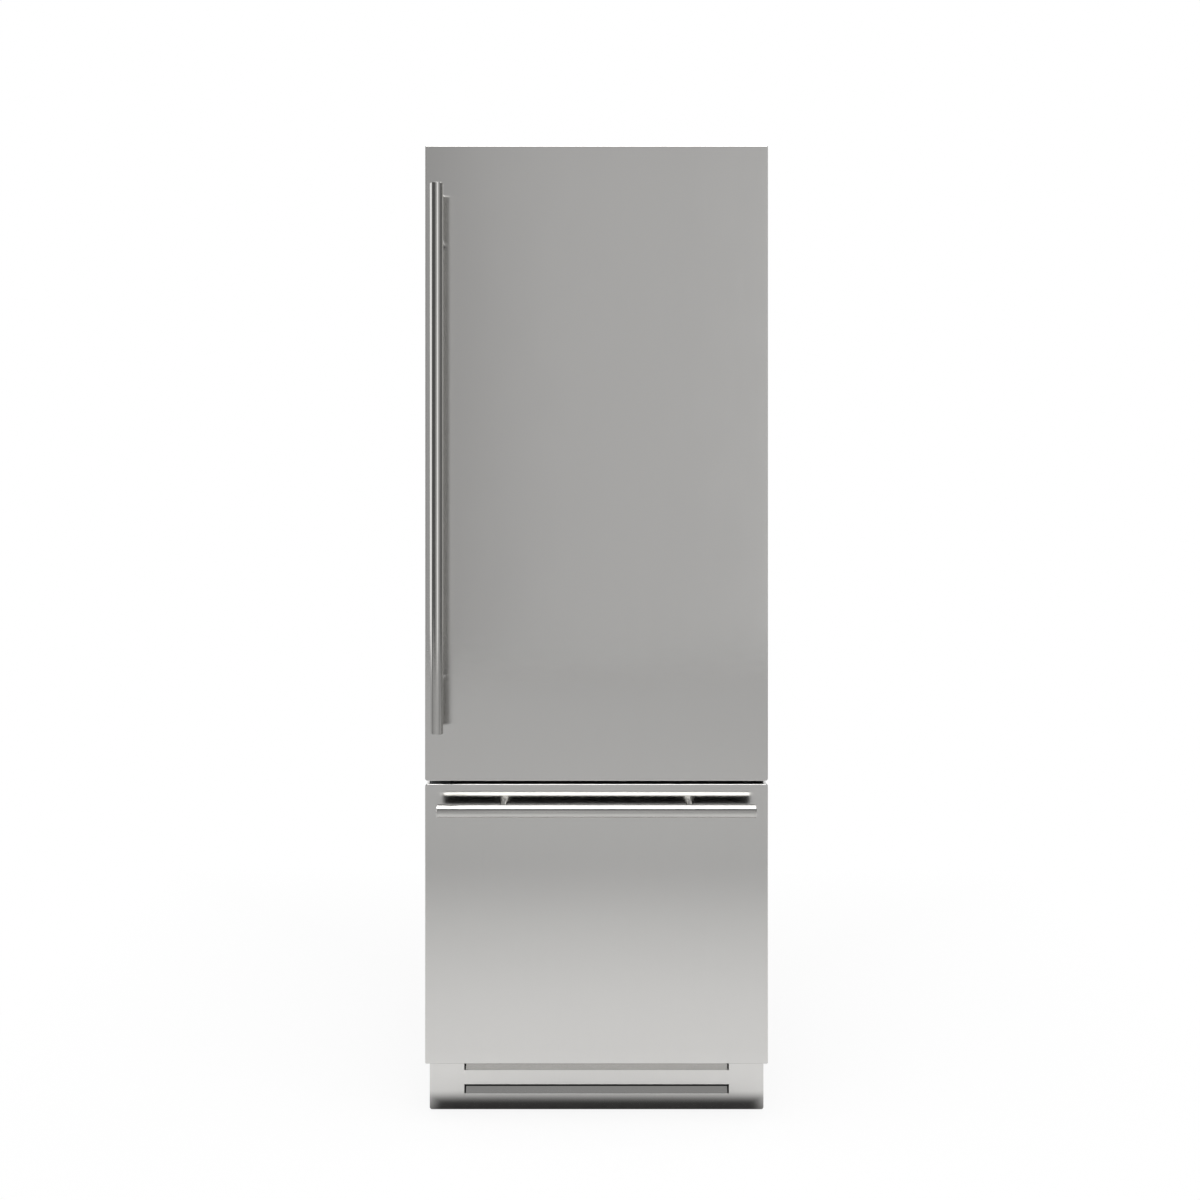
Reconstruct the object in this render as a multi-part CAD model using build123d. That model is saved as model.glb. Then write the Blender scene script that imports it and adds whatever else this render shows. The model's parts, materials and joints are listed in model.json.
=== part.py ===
import os
from math import cos, radians, sin

from build123d import *

os.makedirs("parts", exist_ok=True)

# Sizes are in millimetres. X runs to the right, the front faces -Y and Z points up from the floor.

# Overall sizes
door_width = 748.0
overall_height = 2133.0
body_width = 744.0
body_depth = 650.0
toe_height = 130.0
drawer_height = 610.0
door_gap = 7.0
top_step = 15.0

# Door and drawer shells
door_thickness = 50.0
door_sheet = 1.0
door_liner_sheet = 2.0
corner_by_gap = 5.0
corner_at_end = 2.5
front_edge_radius = 1.8
plug_depth = 24.0
plug_clearance = 16.0
plug_seal_gap = 36.0
dyke_width = 18.0
dyke_depth = 80.0

# Seal between a door and the cabinet
seal_gap = 10.0
seal_width = 16.0
seal_play = 0.3
seal_inset = 5.0
seal_body_inset = 22.0
seal_door_inset = 24.0

# Handles
bar_diameter = 28.0
bar_clearance = 46.0
bar_chamfer = 1.0
post_diameter = 15.0
door_bar_inset = 33.0
door_bar_above = 114.0
door_bar_below = 98.0
door_post_inset = 111.0
drawer_bar_length = 680.0
drawer_bar_drop = 44.0
drawer_post_inset = 137.5

# Cabinet walls
case_sheet = 1.0
case_bend = 3.0
liner_sheet = 2.0
liner_radius = 12.0
side_wall = 58.0
top_wall = 56.0
fridge_back_wall = 56.0
freezer_back_wall = 70.0
divider = 70.0
freezer_floor_rise = 30.0
front_lip = 11.0
crossbar_return = 12.0

# Base, plinth and machine bay
base_height = 44.0
base_sheet = 1.5
base_flange = 36.0
deck_drop = 12.0
bay_depth = 210.0
bay_height = 256.0
bay_wall = 44.0
plinth_floor_gap = 2.0
plinth_return = 39.0
plinth_corner = 5.0
slot_half_length = 295.0
slot_height = 20.5
slot_low = 37.0
slot_pitch = 52.0
flap_angle = 60.0
flap_length = 15.0
flap_end_gap = 3.5
foot_radius = 22.0
foot_inset = 42.0

# Hinges
hinge_side_inset = 17.0
hinge_face_inset = 24.0
hinge_arm_half = 9.0
hinge_sheet = 4.0
hinge_pin_radius = 4.0
hinge_plate_in = 60.0
hinge_plate_out = 14.0
hinge_plate_depth = 70.0
hinge_bolt_inset = 14.0
hinge_bolt_front = 20.0
hinge_bolt_back = 16.0
hinge_bolt_radius = 7.0
hinge_bolt_height = 5.0
hinge_plate_rise = 16.0
hinge_seal_gap = 2.0
running_play = 0.05

# Shelves, crispers and bins
shelf_thickness = 5.0
shelf_count = 3
shelf_first = 1215.0
shelf_pitch = 235.0
ledge_width = 8.0
ledge_height = 12.0
crisper_height = 188.0
crisper_wall = 2.5
crisper_radius = 14.0
crisper_travel = 95.0
bin_depth = 98.0
bin_height = 95.0
bin_wall = 2.5
bin_first = 1015.0
bin_pitch = 250.0
bin_headroom = 60.0
bin_play = 1.5
bin_to_shelf = 18.0

# Freezer drawer
rail_length = 430.0
rail_height = 45.0
rail_drop = 118.0
rail_sheet = 1.7
rail_play = 0.6
freezer_bin_wall = 3.0
tray_depth = 200.0
tray_height = 62.0
duct_depth = 48.0
freezer_duct_depth = 60.0

# Planes and levels worked out from the sizes
overall_depth = bar_diameter + bar_clearance + door_thickness + seal_gap + body_depth
y_face = -overall_depth / 2 + bar_diameter + bar_clearance
y_bar = y_face - bar_clearance - bar_diameter / 2
y_door_back = y_face + door_thickness
y_front = y_door_back + seal_gap
y_back = y_front + body_depth
z_drawer = toe_height
z_drawer_top = z_drawer + drawer_height
z_door = z_drawer_top + door_gap
z_door_top = overall_height
z_top = overall_height - top_step
z_split = z_drawer_top + door_gap / 2
door_half = door_width / 2
body_half = body_width / 2
x_in = body_half - side_wall
z_fridge = z_split + divider / 2
z_fridge_top = z_top - top_wall
y_fridge_back = y_back - fridge_back_wall
z_freezer = toe_height + freezer_floor_rise
z_freezer_top = z_split - divider / 2
y_freezer_back = y_back - freezer_back_wall
z_base = base_height
z_floor = z_base + base_sheet
z_deck = toe_height - deck_drop
y_bay = y_back - bay_depth
z_bay = z_base + bay_height
y_step = y_bay - bay_wall
z_step = z_bay + bay_wall
x_flange = x_in + front_lip
x_hinge = door_half - hinge_side_inset
y_hinge = y_face + hinge_face_inset
y_plug = y_door_back + plug_depth
y_shelf = y_plug + bin_depth + bin_to_shelf
y_duct = y_fridge_back - duct_depth
y_freezer_duct = y_freezer_back - freezer_duct_depth
x_post = drawer_bar_length / 2 - drawer_post_inset
seal_half = min(body_half - seal_body_inset, door_half - seal_door_inset)
plug_half = min(x_in - plug_clearance, seal_half - seal_width - plug_seal_gap)
bin_count = int((z_fridge_top - bin_headroom - bin_height - bin_first) // bin_pitch) + 1


def block(x0, x1, y0, y1, z0, z1):
    centre = ((x0 + x1) / 2, (y0 + y1) / 2, (z0 + z1) / 2)
    return Pos(*centre) * Box(x1 - x0, y1 - y0, z1 - z0)


def rod(axis, centre, radius, length):
    turn = {"x": Rot(0, 90, 0), "y": Rot(90, 0, 0), "z": Rot(0, 0, 0)}[axis]
    return Pos(*centre) * turn * Cylinder(radius, length)


def prism_x(points, x0, x1, radius=0.0):
    face = make_face(Polyline(*points, close=True))
    if radius:
        face = fillet(face.vertices(), radius)
    return extrude(Plane.YZ.offset(x0) * face, amount=x1 - x0)


def mirrored(part):
    return part.mirror(Plane.YZ)


def tub(x0, x1, y0, y1, z0, z1, radius):
    # a block with every edge rounded except those of its front face
    body = block(x0, x1, y0, y1, z0, z1)
    front = body.faces().sort_by(Axis.Y)[0].edges()
    return fillet([e for e in body.edges() if e not in front], radius)


def upright_box(x0, x1, y0, y1, z0, z1, radius, base_radius):
    # a block with rounded upright edges and a rounded underside
    body = block(x0, x1, y0, y1, z0, z1)
    body = fillet(body.edges().filter_by(Axis.Z), radius)
    return fillet(body.faces().sort_by(Axis.Z)[0].edges(), base_radius)


def door_shape(inset, z0, z1, low_corner, high_corner):
    # the outside of a folded door shell, or its inside when given the sheet as inset
    body = block(-door_half + inset, door_half - inset, y_face + inset, y_door_back, z0 + inset, z1 - inset)
    levels = body.edges().filter_by(Axis.Y).group_by(Axis.Z)
    body = fillet(levels[0], low_corner - inset)
    levels = body.edges().filter_by(Axis.Y).group_by(Axis.Z)
    body = fillet(levels[-1], high_corner - inset)
    return fillet(body.faces().sort_by(Axis.Y)[0].edges(), front_edge_radius - inset)


def ring(half, z0, z1, width, y0, y1):
    return block(-half, half, y0, y1, z0, z1) - block(
        -half + width, half - width, y0 - 1, y1 + 1, z0 + width, z1 - width
    )


def gasket(half, z0, z1):
    depth = seal_gap - seal_play
    foot = ring(half, z0, z1, seal_width, y_door_back, y_door_back + depth * 0.3)
    neck = 0.22 * seal_width
    bellows = ring(
        half - neck, z0 + neck, z1 - neck, seal_width - 2 * neck,
        y_door_back + depth * 0.3, y_door_back + depth * 0.7
    )
    lip = 0.06 * seal_width
    magnet = ring(
        half - lip, z0 + lip, z1 - lip, seal_width - 2 * lip, y_door_back + depth * 0.7, y_door_back + depth
    )
    return foot + bellows + magnet


def fan_wheel(radius, hub_radius, depth, shaft_radius, blades):
    wheel = Cylinder(hub_radius, depth)
    reach = radius - hub_radius
    for i in range(blades):
        blade = Pos(hub_radius + reach / 2, 0, 0) * Rot(38, 0, 0) * Box(reach + 6, depth * 1.35, 1.6)
        wheel += Rot(0, 0, i * 360 / blades) * blade
    wheel = wheel & Cylinder(radius, depth)
    return wheel - Cylinder(shaft_radius + running_play, depth + 2)


def serpentine(x0, x1, y, z0, pitch, passes, radius):
    points = []
    for i in range(passes):
        ends = (x0, x1) if i % 2 == 0 else (x1, x0)
        points += [(ends[0], y, z0 + i * pitch), (ends[1], y, z0 + i * pitch)]
    path = FilletPolyline(*points, radius=pitch / 2 - 0.5)
    return sweep(Plane(origin=path @ 0, z_dir=path % 0) * Circle(radius), path=path)


def pipe(points, radius, bend):
    path = FilletPolyline(*points, radius=bend)
    return sweep(Plane(origin=path @ 0, z_dir=path % 0) * Circle(radius), path=path)


def save(name, *pieces):
    solids = [solid for piece in pieces for solid in piece.solids()]
    export_step(solids[0] if len(solids) == 1 else Compound(solids), f"parts/{name}.step")


# Outer case: both sides and the top, with flanges turned in at the front
case_outer = block(-body_half, body_half, y_front, y_back, z_base, z_top)
case_outer = fillet(case_outer.edges().filter_by(Axis.Y).group_by(Axis.Z)[-1], case_bend)
case_inner = block(
    -body_half + case_sheet, body_half - case_sheet, y_front + case_sheet, y_back + 1,
    z_base - 1, z_top - case_sheet
)
case_inner = fillet(case_inner.edges().filter_by(Axis.Y).group_by(Axis.Z)[-1], case_bend - case_sheet)
outer_case = case_outer - case_inner
outer_case -= block(
    -x_flange, x_flange, y_front - 1, y_front + case_sheet + 0.5, z_base - 1, z_fridge_top + front_lip
)
outer_case -= block(
    -body_half - 1, body_half + 1, y_front - 1, y_front + plinth_return + 1, z_base - 1, z_deck
)
save("outer_case", outer_case)

# Back panel: one sheet that steps over the machine bay and forms the deck under the freezer
inner_half = body_half - case_sheet
back_panel = block(-inner_half, inner_half, y_back - case_sheet, y_back, z_bay, z_top)
back_panel += block(-inner_half, inner_half, y_bay - case_sheet, y_back, z_bay, z_bay + case_sheet)
back_panel += block(-inner_half, inner_half, y_bay - case_sheet, y_bay, z_deck, z_bay + case_sheet)
back_panel += block(-inner_half, inner_half, y_front + case_sheet, y_bay, z_deck, z_deck + case_sheet)
back_panel = back_panel & case_inner
save("back_panel", back_panel)

# Fridge liner with shelf ledges on its sides and runner ribs on its floor
fridge_outer = tub(
    -x_in - liner_sheet, x_in + liner_sheet, y_front, y_fridge_back + liner_sheet,
    z_fridge - liner_sheet, z_fridge_top + liner_sheet, liner_radius + liner_sheet
)
fridge_inner = tub(-x_in, x_in, y_front, y_fridge_back, z_fridge, z_fridge_top, liner_radius)
fridge_liner = fridge_outer + block(
    -x_flange, x_flange, y_front, y_front + case_sheet, z_fridge - front_lip, z_fridge_top + front_lip
)
fridge_liner -= fridge_inner
runner_height = 3.0
crisper_base = z_fridge + runner_height
crisper_gap = 8.0
lid_level = crisper_base + crisper_height + ledge_height + 6.0
shelf_levels = [shelf_first + i * shelf_pitch for i in range(shelf_count)]
y_glass = y_shelf + 6.0
y_glass_back = y_duct - 2.0
for level in [lid_level] + shelf_levels:
    ledge = block(x_in - ledge_width, x_in + 1, y_glass + 14, y_glass_back, level - ledge_height, level)
    fridge_liner += ledge
    fridge_liner += mirrored(ledge)
y_crisper = y_shelf + 4.0
y_crisper_back = y_duct - 20.0
for x in (x_in * 0.12, x_in * 0.82):
    runner = block(x - 4, x + 4, y_crisper + 20, y_crisper_back, z_fridge - 1, crisper_base)
    fridge_liner += runner
    fridge_liner += mirrored(runner)
save("fridge_liner", fridge_liner)

# Freezer liner, stepped over the machine bay
freezer_points = [
    (y_front, z_freezer), (y_step, z_freezer), (y_step, z_step),
    (y_freezer_back, z_step), (y_freezer_back, z_freezer_top), (y_front, z_freezer_top)
]
t = liner_sheet
freezer_outer_points = [
    (y_front, z_freezer - t), (y_step + t, z_freezer - t), (y_step + t, z_step - t),
    (y_freezer_back + t, z_step - t), (y_freezer_back + t, z_freezer_top + t), (y_front, z_freezer_top + t)
]
freezer_inner = prism_x(freezer_points, -x_in, x_in)
freezer_outer = prism_x(freezer_outer_points, -x_in - t, x_in + t)
inner_cross = [e for e in freezer_inner.edges().filter_by(Axis.X) if e.center().Y > y_front + 1]
outer_cross = [e for e in freezer_outer.edges().filter_by(Axis.X) if e.center().Y > y_front + 1]
freezer_inner = fillet(inner_cross, liner_radius - 4)
freezer_outer = fillet(outer_cross, liner_radius - 4)
freezer_liner = freezer_outer + block(
    -x_flange, x_flange, y_front, y_front + case_sheet, z_freezer - front_lip, z_freezer_top + front_lip
)
freezer_liner -= freezer_inner
save("freezer_liner", freezer_liner)

# Front crossbars: the black one between the compartments and the one under the drawer
z_bar_low = z_freezer_top + front_lip
z_bar_high = z_fridge - front_lip


def crossbar(z0, z1):
    bar = block(-x_flange, x_flange, y_front, y_front + crossbar_return, z0, z1)
    return bar - block(
        -x_flange - 1, x_flange + 1, y_front + case_sheet, y_front + crossbar_return + 1,
        z0 + case_sheet, z1 - case_sheet
    )


middle_crossbar = crossbar(z_bar_low, z_bar_high)
lower_crossbar = crossbar(z_deck + case_sheet, z_freezer - front_lip)
save("front_crossbars", middle_crossbar, lower_crossbar)

# Insulating foam that fills the space between the case and the liners
cabinet_foam = block(
    -inner_half, inner_half, y_front + case_sheet, y_back - case_sheet,
    z_deck + case_sheet, z_top - case_sheet
)
cabinet_foam = cabinet_foam & case_inner
cabinet_foam -= block(-body_half, body_half, y_bay - case_sheet, y_back, z_deck, z_bay + case_sheet)
cabinet_foam -= fridge_outer
cabinet_foam -= freezer_outer
cabinet_foam -= middle_crossbar
cabinet_foam -= lower_crossbar
save("cabinet_foam", cabinet_foam)

# Base frame
y_base = y_front + 26.0
base_frame = block(-inner_half, inner_half, y_base, y_back - case_sheet, z_base, z_floor)
side_tongue = block(
    inner_half - base_sheet, inner_half, y_front + 6, y_back - case_sheet, z_base, z_base + base_flange
)
base_frame += side_tongue
base_frame += mirrored(side_tongue)
front_wall = block(-inner_half, inner_half, y_base, y_base + base_sheet, z_base, z_deck)
window_top = z_deck - 12.0
for x0, x1 in ((-0.9, -0.35), (-0.25, 0.25), (0.35, 0.9)):
    front_wall -= block(
        x0 * inner_half, x1 * inner_half, y_base - 1, y_base + base_sheet + 1, z_floor + 8, window_top
    )
base_frame += front_wall
save("base_frame", base_frame)

# Levelling feet, each a pad, a threaded stud and a lock nut
feet = []
for x in (-body_half + foot_inset, body_half - foot_inset):
    for y in (y_base + foot_inset, y_back - foot_inset - 10):
        pad = fillet(Cylinder(foot_radius, 9).edges().group_by(Axis.Z)[-1], 3)
        foot = Pos(x, y, 4.5) * pad + rod("z", (x, y, (8 + z_base) / 2), 6, z_base - 8)
        nut = extrude(RegularPolygon(10.5, 6), amount=8)
        foot += Pos(x, y, z_base - 8) * nut
        feet.append(foot)
save("levelling_feet", *feet)

# Plinth panel with two lanced slots, each with its flap bent inward
plinth_top = z_deck - 1.0
plinth_panel = block(-body_half, body_half, y_front, y_front + plinth_return, plinth_floor_gap, plinth_top)
plinth_panel = fillet(plinth_panel.edges().filter_by(Axis.Y).group_by(Axis.Z)[0], plinth_corner)
plinth_panel -= block(
    -inner_half, inner_half, y_front + case_sheet, y_front + plinth_return + 1,
    plinth_floor_gap - 1, plinth_top + 1
)
for i in range(2):
    z = slot_low + i * slot_pitch
    plinth_panel -= block(
        -slot_half_length, slot_half_length, y_front - 1, y_front + case_sheet + 1, z, z + slot_height
    )
    run = (flap_length * cos(radians(flap_angle)), flap_length * sin(radians(flap_angle)))
    drop = (case_sheet * sin(radians(flap_angle)), -case_sheet * cos(radians(flap_angle)))
    flap = [
        (y_front, z), (y_front + run[0], z + run[1]),
        (y_front + run[0] + drop[0], z + run[1] + drop[1]),
        (y_front, z - case_sheet / cos(radians(flap_angle)))
    ]
    plinth_panel += prism_x(flap, -slot_half_length + flap_end_gap, slot_half_length - flap_end_gap)
save("plinth_panel", plinth_panel)

# Machine bay: rear cover with louvre slots and an opening for the mains inlet
inlet_x = body_half - 40.0
inlet_z = z_floor + 50.0
inlet_half = (24.0, 14.0)
machine_cover = block(-inner_half, inner_half, y_back - case_sheet, y_back, z_base, z_bay)
for group in (-0.55, 0.25):
    for i in range(9):
        z = z_base + 60 + i * 18
        x = group * inner_half
        machine_cover -= block(x - 90, x + 90, y_back - case_sheet - 1, y_back + 1, z, z + 6)
machine_cover -= block(
    inlet_x - inlet_half[0], inlet_x + inlet_half[0], y_back - 5, y_back + 1,
    inlet_z - inlet_half[1], inlet_z + inlet_half[1]
)
save("machine_cover", machine_cover)

# Mains inlet with three blades in its socket
inlet = block(
    inlet_x - inlet_half[0], inlet_x + inlet_half[0], y_back - 26, y_back,
    inlet_z - inlet_half[1], inlet_z + inlet_half[1]
)
inlet += block(
    inlet_x - inlet_half[0] - 5, inlet_x + inlet_half[0] + 5, y_back - case_sheet - 2.5, y_back - case_sheet,
    inlet_z - inlet_half[1] - 5, inlet_z + inlet_half[1] + 5
)
inlet -= block(inlet_x - 13, inlet_x + 13, y_back - 18, y_back + 1, inlet_z - 8.5, inlet_z + 8.5)
for x, z in ((-7, -2), (0, 3), (7, -2)):
    inlet += block(
        inlet_x + x - 1, inlet_x + x + 1, y_back - 19, y_back - 5, inlet_z + z - 2.5, inlet_z + z + 2.5
    )
save("mains_inlet", inlet)

# Compressor on four grommets
pump_x = 0.5 * inner_half
pump_y = (y_bay + y_back) / 2
grommet_height = 14.0
grommet_radius = 13.0
grommet_bore = 4.0
grommet_side = 88.0
grommet_depth = 58.0
pump_side = 95.0
pump_depth = 70.0
pump_height = 172.0
pump_side_radius = 64.0
pump_top_radius = 36.0
pump_wall = 4.0
pump_foot_side = 105.0
pump_foot_depth = 74.0
pump_foot_sheet = 3.0
grommets = []
for x in (-grommet_side, grommet_side):
    for y in (-grommet_depth, grommet_depth):
        centre = (pump_x + x, pump_y + y, z_floor + grommet_height / 2)
        grommet = rod("z", centre, grommet_radius, grommet_height)
        grommets.append(grommet - rod("z", centre, grommet_bore, grommet_height + 2))
save("compressor_grommets", *grommets)


def pot(inset):
    body = block(
        pump_x - pump_side + inset, pump_x + pump_side - inset,
        pump_y - pump_depth + inset, pump_y + pump_depth - inset,
        z_floor + grommet_height + pump_foot_sheet - 1 + inset, z_floor + pump_height - inset
    )
    body = fillet(body.edges().filter_by(Axis.Z), pump_side_radius - inset)
    return fillet(body.faces().sort_by(Axis.Z)[-1].edges(), pump_top_radius - inset)


compressor = pot(0) + block(
    pump_x - pump_foot_side, pump_x + pump_foot_side, pump_y - pump_foot_depth, pump_y + pump_foot_depth,
    z_floor + grommet_height, z_floor + grommet_height + pump_foot_sheet
)
compressor -= pot(pump_wall)
terminal_half = 25.0
terminal_reach = 24.0
terminal_low = 60.0
terminal_high = 125.0
compressor += block(
    pump_x - terminal_half, pump_x + terminal_half, pump_y + pump_depth - pump_wall,
    pump_y + pump_depth + terminal_reach, z_floor + terminal_low, z_floor + terminal_high
)
save("compressor", compressor)

# Condenser coil that stands on its two end plates, over the drip tray
coil_x0 = -inner_half + 34.0
coil_x1 = -70.0
coil_y0 = y_bay + 18.0
coil_y1 = y_back - 24.0
coil_z0 = z_floor + 32.0
coil_z1 = z_floor + 190.0
coil_pitch = 36.0
coil_tube = 4.0
coil_rise = 24.0
coil_end = 12.0
coil_row_inset = 40.0
coil_plate_inset = 30.0
coil_fin_inset = 40.0
fin_sheet = 1.0
plate_sheet = 2.0
fin_count = 14
coil_rows = [
    serpentine(coil_x0 + coil_end, coil_x1 - coil_end, y, coil_z0 + coil_rise, coil_pitch, 4, coil_tube)
    for y in (coil_y0 + coil_row_inset, coil_y1 - coil_row_inset)
]
condenser = coil_rows[0] + coil_rows[1]
for i in range(fin_count):
    x = coil_x0 + coil_fin_inset + i * (coil_x1 - coil_x0 - 2 * coil_fin_inset) / (fin_count - 1)
    condenser += block(x - fin_sheet / 2, x + fin_sheet / 2, coil_y0, coil_y1, coil_z0, coil_z1)
for x in (coil_x0 + coil_plate_inset, coil_x1 - coil_plate_inset):
    condenser += block(x - plate_sheet / 2, x + plate_sheet / 2, coil_y0, coil_y1, z_floor, coil_z1)
save("condenser_coil", condenser)

drip_wall = 2.0
drip_height = 24.0
drip_play = 3.0
drip_reach = 4.0
drip_corner = 8.0
drip_base_corner = 3.0
drip_x0 = coil_x0 + coil_plate_inset + plate_sheet / 2 + drip_play
drip_x1 = coil_x1 - coil_plate_inset - plate_sheet / 2 - drip_play
drip_tray = upright_box(
    drip_x0, drip_x1, coil_y0 - drip_reach, coil_y1 + drip_reach,
    z_floor, z_floor + drip_height, drip_corner, drip_base_corner
)
drip_tray -= upright_box(
    drip_x0 + drip_wall, drip_x1 - drip_wall,
    coil_y0 - drip_reach + drip_wall, coil_y1 + drip_reach - drip_wall,
    z_floor + drip_wall, z_floor + drip_height + drip_wall, drip_corner - drip_wall, drip_base_corner - 1
)
save("drip_tray", drip_tray)

# Condenser fan: frame with shroud, struts and motor, and the wheel on its shaft
fan_x = -36.0
fan_y = pump_y
fan_z = z_floor + 104.0
fan_radius = 72.0
fan_plate_reach = 92.0
fan_plate_rise = 96.0
shroud_depth = 24.0
shroud_gap = 5.0
shroud_sheet = 3.0
fan_motor_radius = 24.0
fan_motor_length = 34.0
fan_motor_gap = 3.0
fan_shaft_radius = 3.0
fan_hub_radius = 20.0
fan_hub_depth = 20.0
strut_width = 10.0
strut_sheet = 4.0
x_motor = fan_x + shroud_depth + fan_motor_gap
shroud_inside = fan_radius + shroud_gap
strut_end = shroud_inside + 1
fan_frame = block(
    fan_x - plate_sheet, fan_x, fan_y - fan_plate_reach, fan_y + fan_plate_reach,
    z_floor, fan_z + fan_plate_rise
)
fan_frame += rod("x", (fan_x + shroud_depth / 2, fan_y, fan_z), shroud_inside + shroud_sheet, shroud_depth)
fan_frame -= rod("x", (fan_x + shroud_depth / 2, fan_y, fan_z), shroud_inside, 2 * shroud_depth + 12)
fan_frame += rod("x", (x_motor + fan_motor_length / 2, fan_y, fan_z), fan_motor_radius, fan_motor_length)
for i in range(3):
    strut = Box(strut_sheet, strut_width, strut_end - fan_motor_radius + 4)
    strut = Pos(x_motor + strut_sheet / 2, fan_y, fan_z) * Rot(i * 120, 0, 0) * Pos(
        0, 0, (fan_motor_radius + strut_end) / 2
    ) * strut
    tab = Box(strut_width, strut_width, shroud_sheet)
    tab = Pos(x_motor, fan_y, fan_z) * Rot(i * 120, 0, 0) * Pos(0, 0, shroud_inside + shroud_sheet / 2) * tab
    fan_frame += strut
    fan_frame += tab
shaft_length = x_motor - fan_x + 1
x_shaft = x_motor + fan_motor_gap - shaft_length / 2
fan_frame += rod("x", (x_shaft, fan_y, fan_z), fan_shaft_radius, shaft_length)
save("condenser_fan_frame", fan_frame)
condenser_wheel = Pos(fan_x + fan_hub_depth / 2 + fan_motor_gap, fan_y, fan_z) * Rot(0, 90, 0) * fan_wheel(
    fan_radius, fan_hub_radius, fan_hub_depth, fan_shaft_radius, 5
)
save("condenser_fan_wheel", condenser_wheel)

# Refrigerant pipes: discharge line, suction line, and liquid line with its drier
discharge = pipe(
    [
        (pump_x - 95, pump_y, z_floor + 75), (pump_x - 130, pump_y, z_floor + 75),
        (pump_x - 130, pump_y, z_bay - 30), (coil_x0 + 10, pump_y, z_bay - 30),
        (coil_x0 + 10, pump_y, coil_z1 - 30), (coil_x0 + 29, pump_y, coil_z1 - 30)
    ],
    3, 8
)
suction = pipe(
    [
        (pump_x + 95, pump_y, z_floor + 75), (pump_x + 125, pump_y, z_floor + 75),
        (pump_x + 125, pump_y, z_bay)
    ],
    4, 10
)
liquid = pipe(
    [
        (coil_x0 + 29, coil_y1 - 12, coil_z0 + 10), (coil_x0 + 6, coil_y1 - 12, coil_z0 + 10),
        (coil_x0 + 6, coil_y1 - 12, z_bay)
    ],
    3, 8
)
drier = rod("z", (coil_x0 + 6, coil_y1 - 12, coil_z0 + 95), 10, 90)
drier = fillet(drier.edges().filter_by(GeomType.CIRCLE), 6)
save("refrigerant_pipes", discharge, suction, liquid + drier)

# Control box in the space under the freezer
box_setback = 90.0
box_depth = 150.0
box_headroom = 14.0
y_box = y_base + box_setback
control_box = upright_box(
    -0.85 * inner_half, -0.42 * inner_half, y_box, y_box + box_depth, z_floor, z_deck - box_headroom, 5, 1
)
control_box = fillet(control_box.faces().sort_by(Axis.Z)[-1].edges(), 3)
save("control_box", control_box)

# Evaporators behind the duct covers
evaporator_reach = 220.0
evaporator_depth = 38.0
evaporator_back_gap = 6.0
evaporator_margin = 22.0
evaporator_fins = 12
fridge_coil_pitch = 40.0
freezer_coil_pitch = 38.0
fridge_coil_rise = 230.0
freezer_coil_rise = 16.0


def evaporator(y_wall, z0, passes, pitch):
    reach = evaporator_reach
    y_near = y_wall - evaporator_depth
    coil = serpentine(
        -reach, reach, y_wall - evaporator_margin, z0 + evaporator_margin, pitch, passes, coil_tube
    )
    top = z0 + 2 * evaporator_margin + (passes - 1) * pitch
    for i in range(evaporator_fins):
        x = -reach + coil_fin_inset + i * 2 * (reach - coil_fin_inset) / (evaporator_fins - 1)
        coil += block(x - fin_sheet / 2, x + fin_sheet / 2, y_near, y_wall - evaporator_back_gap, z0, top)
    for x in (-reach + coil_plate_inset, reach - coil_plate_inset):
        coil += block(x - plate_sheet / 2, x + plate_sheet / 2, y_near, y_wall, z0, top)
    return coil


fridge_cover_low = z_fridge + 20.0
fridge_cover_top = z_fridge_top - 22.0
freezer_cover_low = z_step + liner_radius
freezer_cover_top = z_freezer_top - 10.0
fridge_fan_z = fridge_cover_top - 90.0
freezer_fan_z = freezer_cover_top - 66.0
save(
    "evaporators",
    evaporator(y_fridge_back, fridge_cover_low + fridge_coil_rise, 6, fridge_coil_pitch),
    evaporator(y_freezer_back, freezer_cover_low + freezer_coil_rise, 4, freezer_coil_pitch)
)

# Evaporator fans: two motors on the liners' back walls and two wheels
small_fan = 45.0
small_hub_radius = 14.0
small_hub_depth = 14.0
small_motor_radius = 18.0
small_motor_depth = 16.0
small_motor_edge = 3.0
small_motor_arm = 40.0
small_motor_strap = 16.0
small_shaft_radius = 2.5
small_wheel_out = 26.0
motors = []
for y, z in ((y_fridge_back, fridge_fan_z), (y_freezer_back, freezer_fan_z)):
    motor = rod("y", (0, y - small_motor_depth / 2, z), small_motor_radius, small_motor_depth)
    motor = fillet(motor.edges().filter_by(GeomType.CIRCLE).group_by(Axis.Y)[0], small_motor_edge)
    motor += block(
        -small_motor_arm, small_motor_arm, y - plate_sheet, y,
        z - small_motor_strap / 2, z + small_motor_strap / 2
    )
    motor += rod("y", (0, y - small_motor_depth * 1.5, z), small_shaft_radius, small_motor_depth * 1.5)
    motors.append(motor)
save("evaporator_fan_motors", *motors)
wheel = Rot(90, 0, 0) * fan_wheel(small_fan, small_hub_radius, small_hub_depth, small_shaft_radius, 5)
save("fridge_fan_wheel", Pos(0, y_fridge_back - small_wheel_out, fridge_fan_z) * wheel)
save("freezer_fan_wheel", Pos(0, y_freezer_back - small_wheel_out, freezer_fan_z) * wheel)


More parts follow.
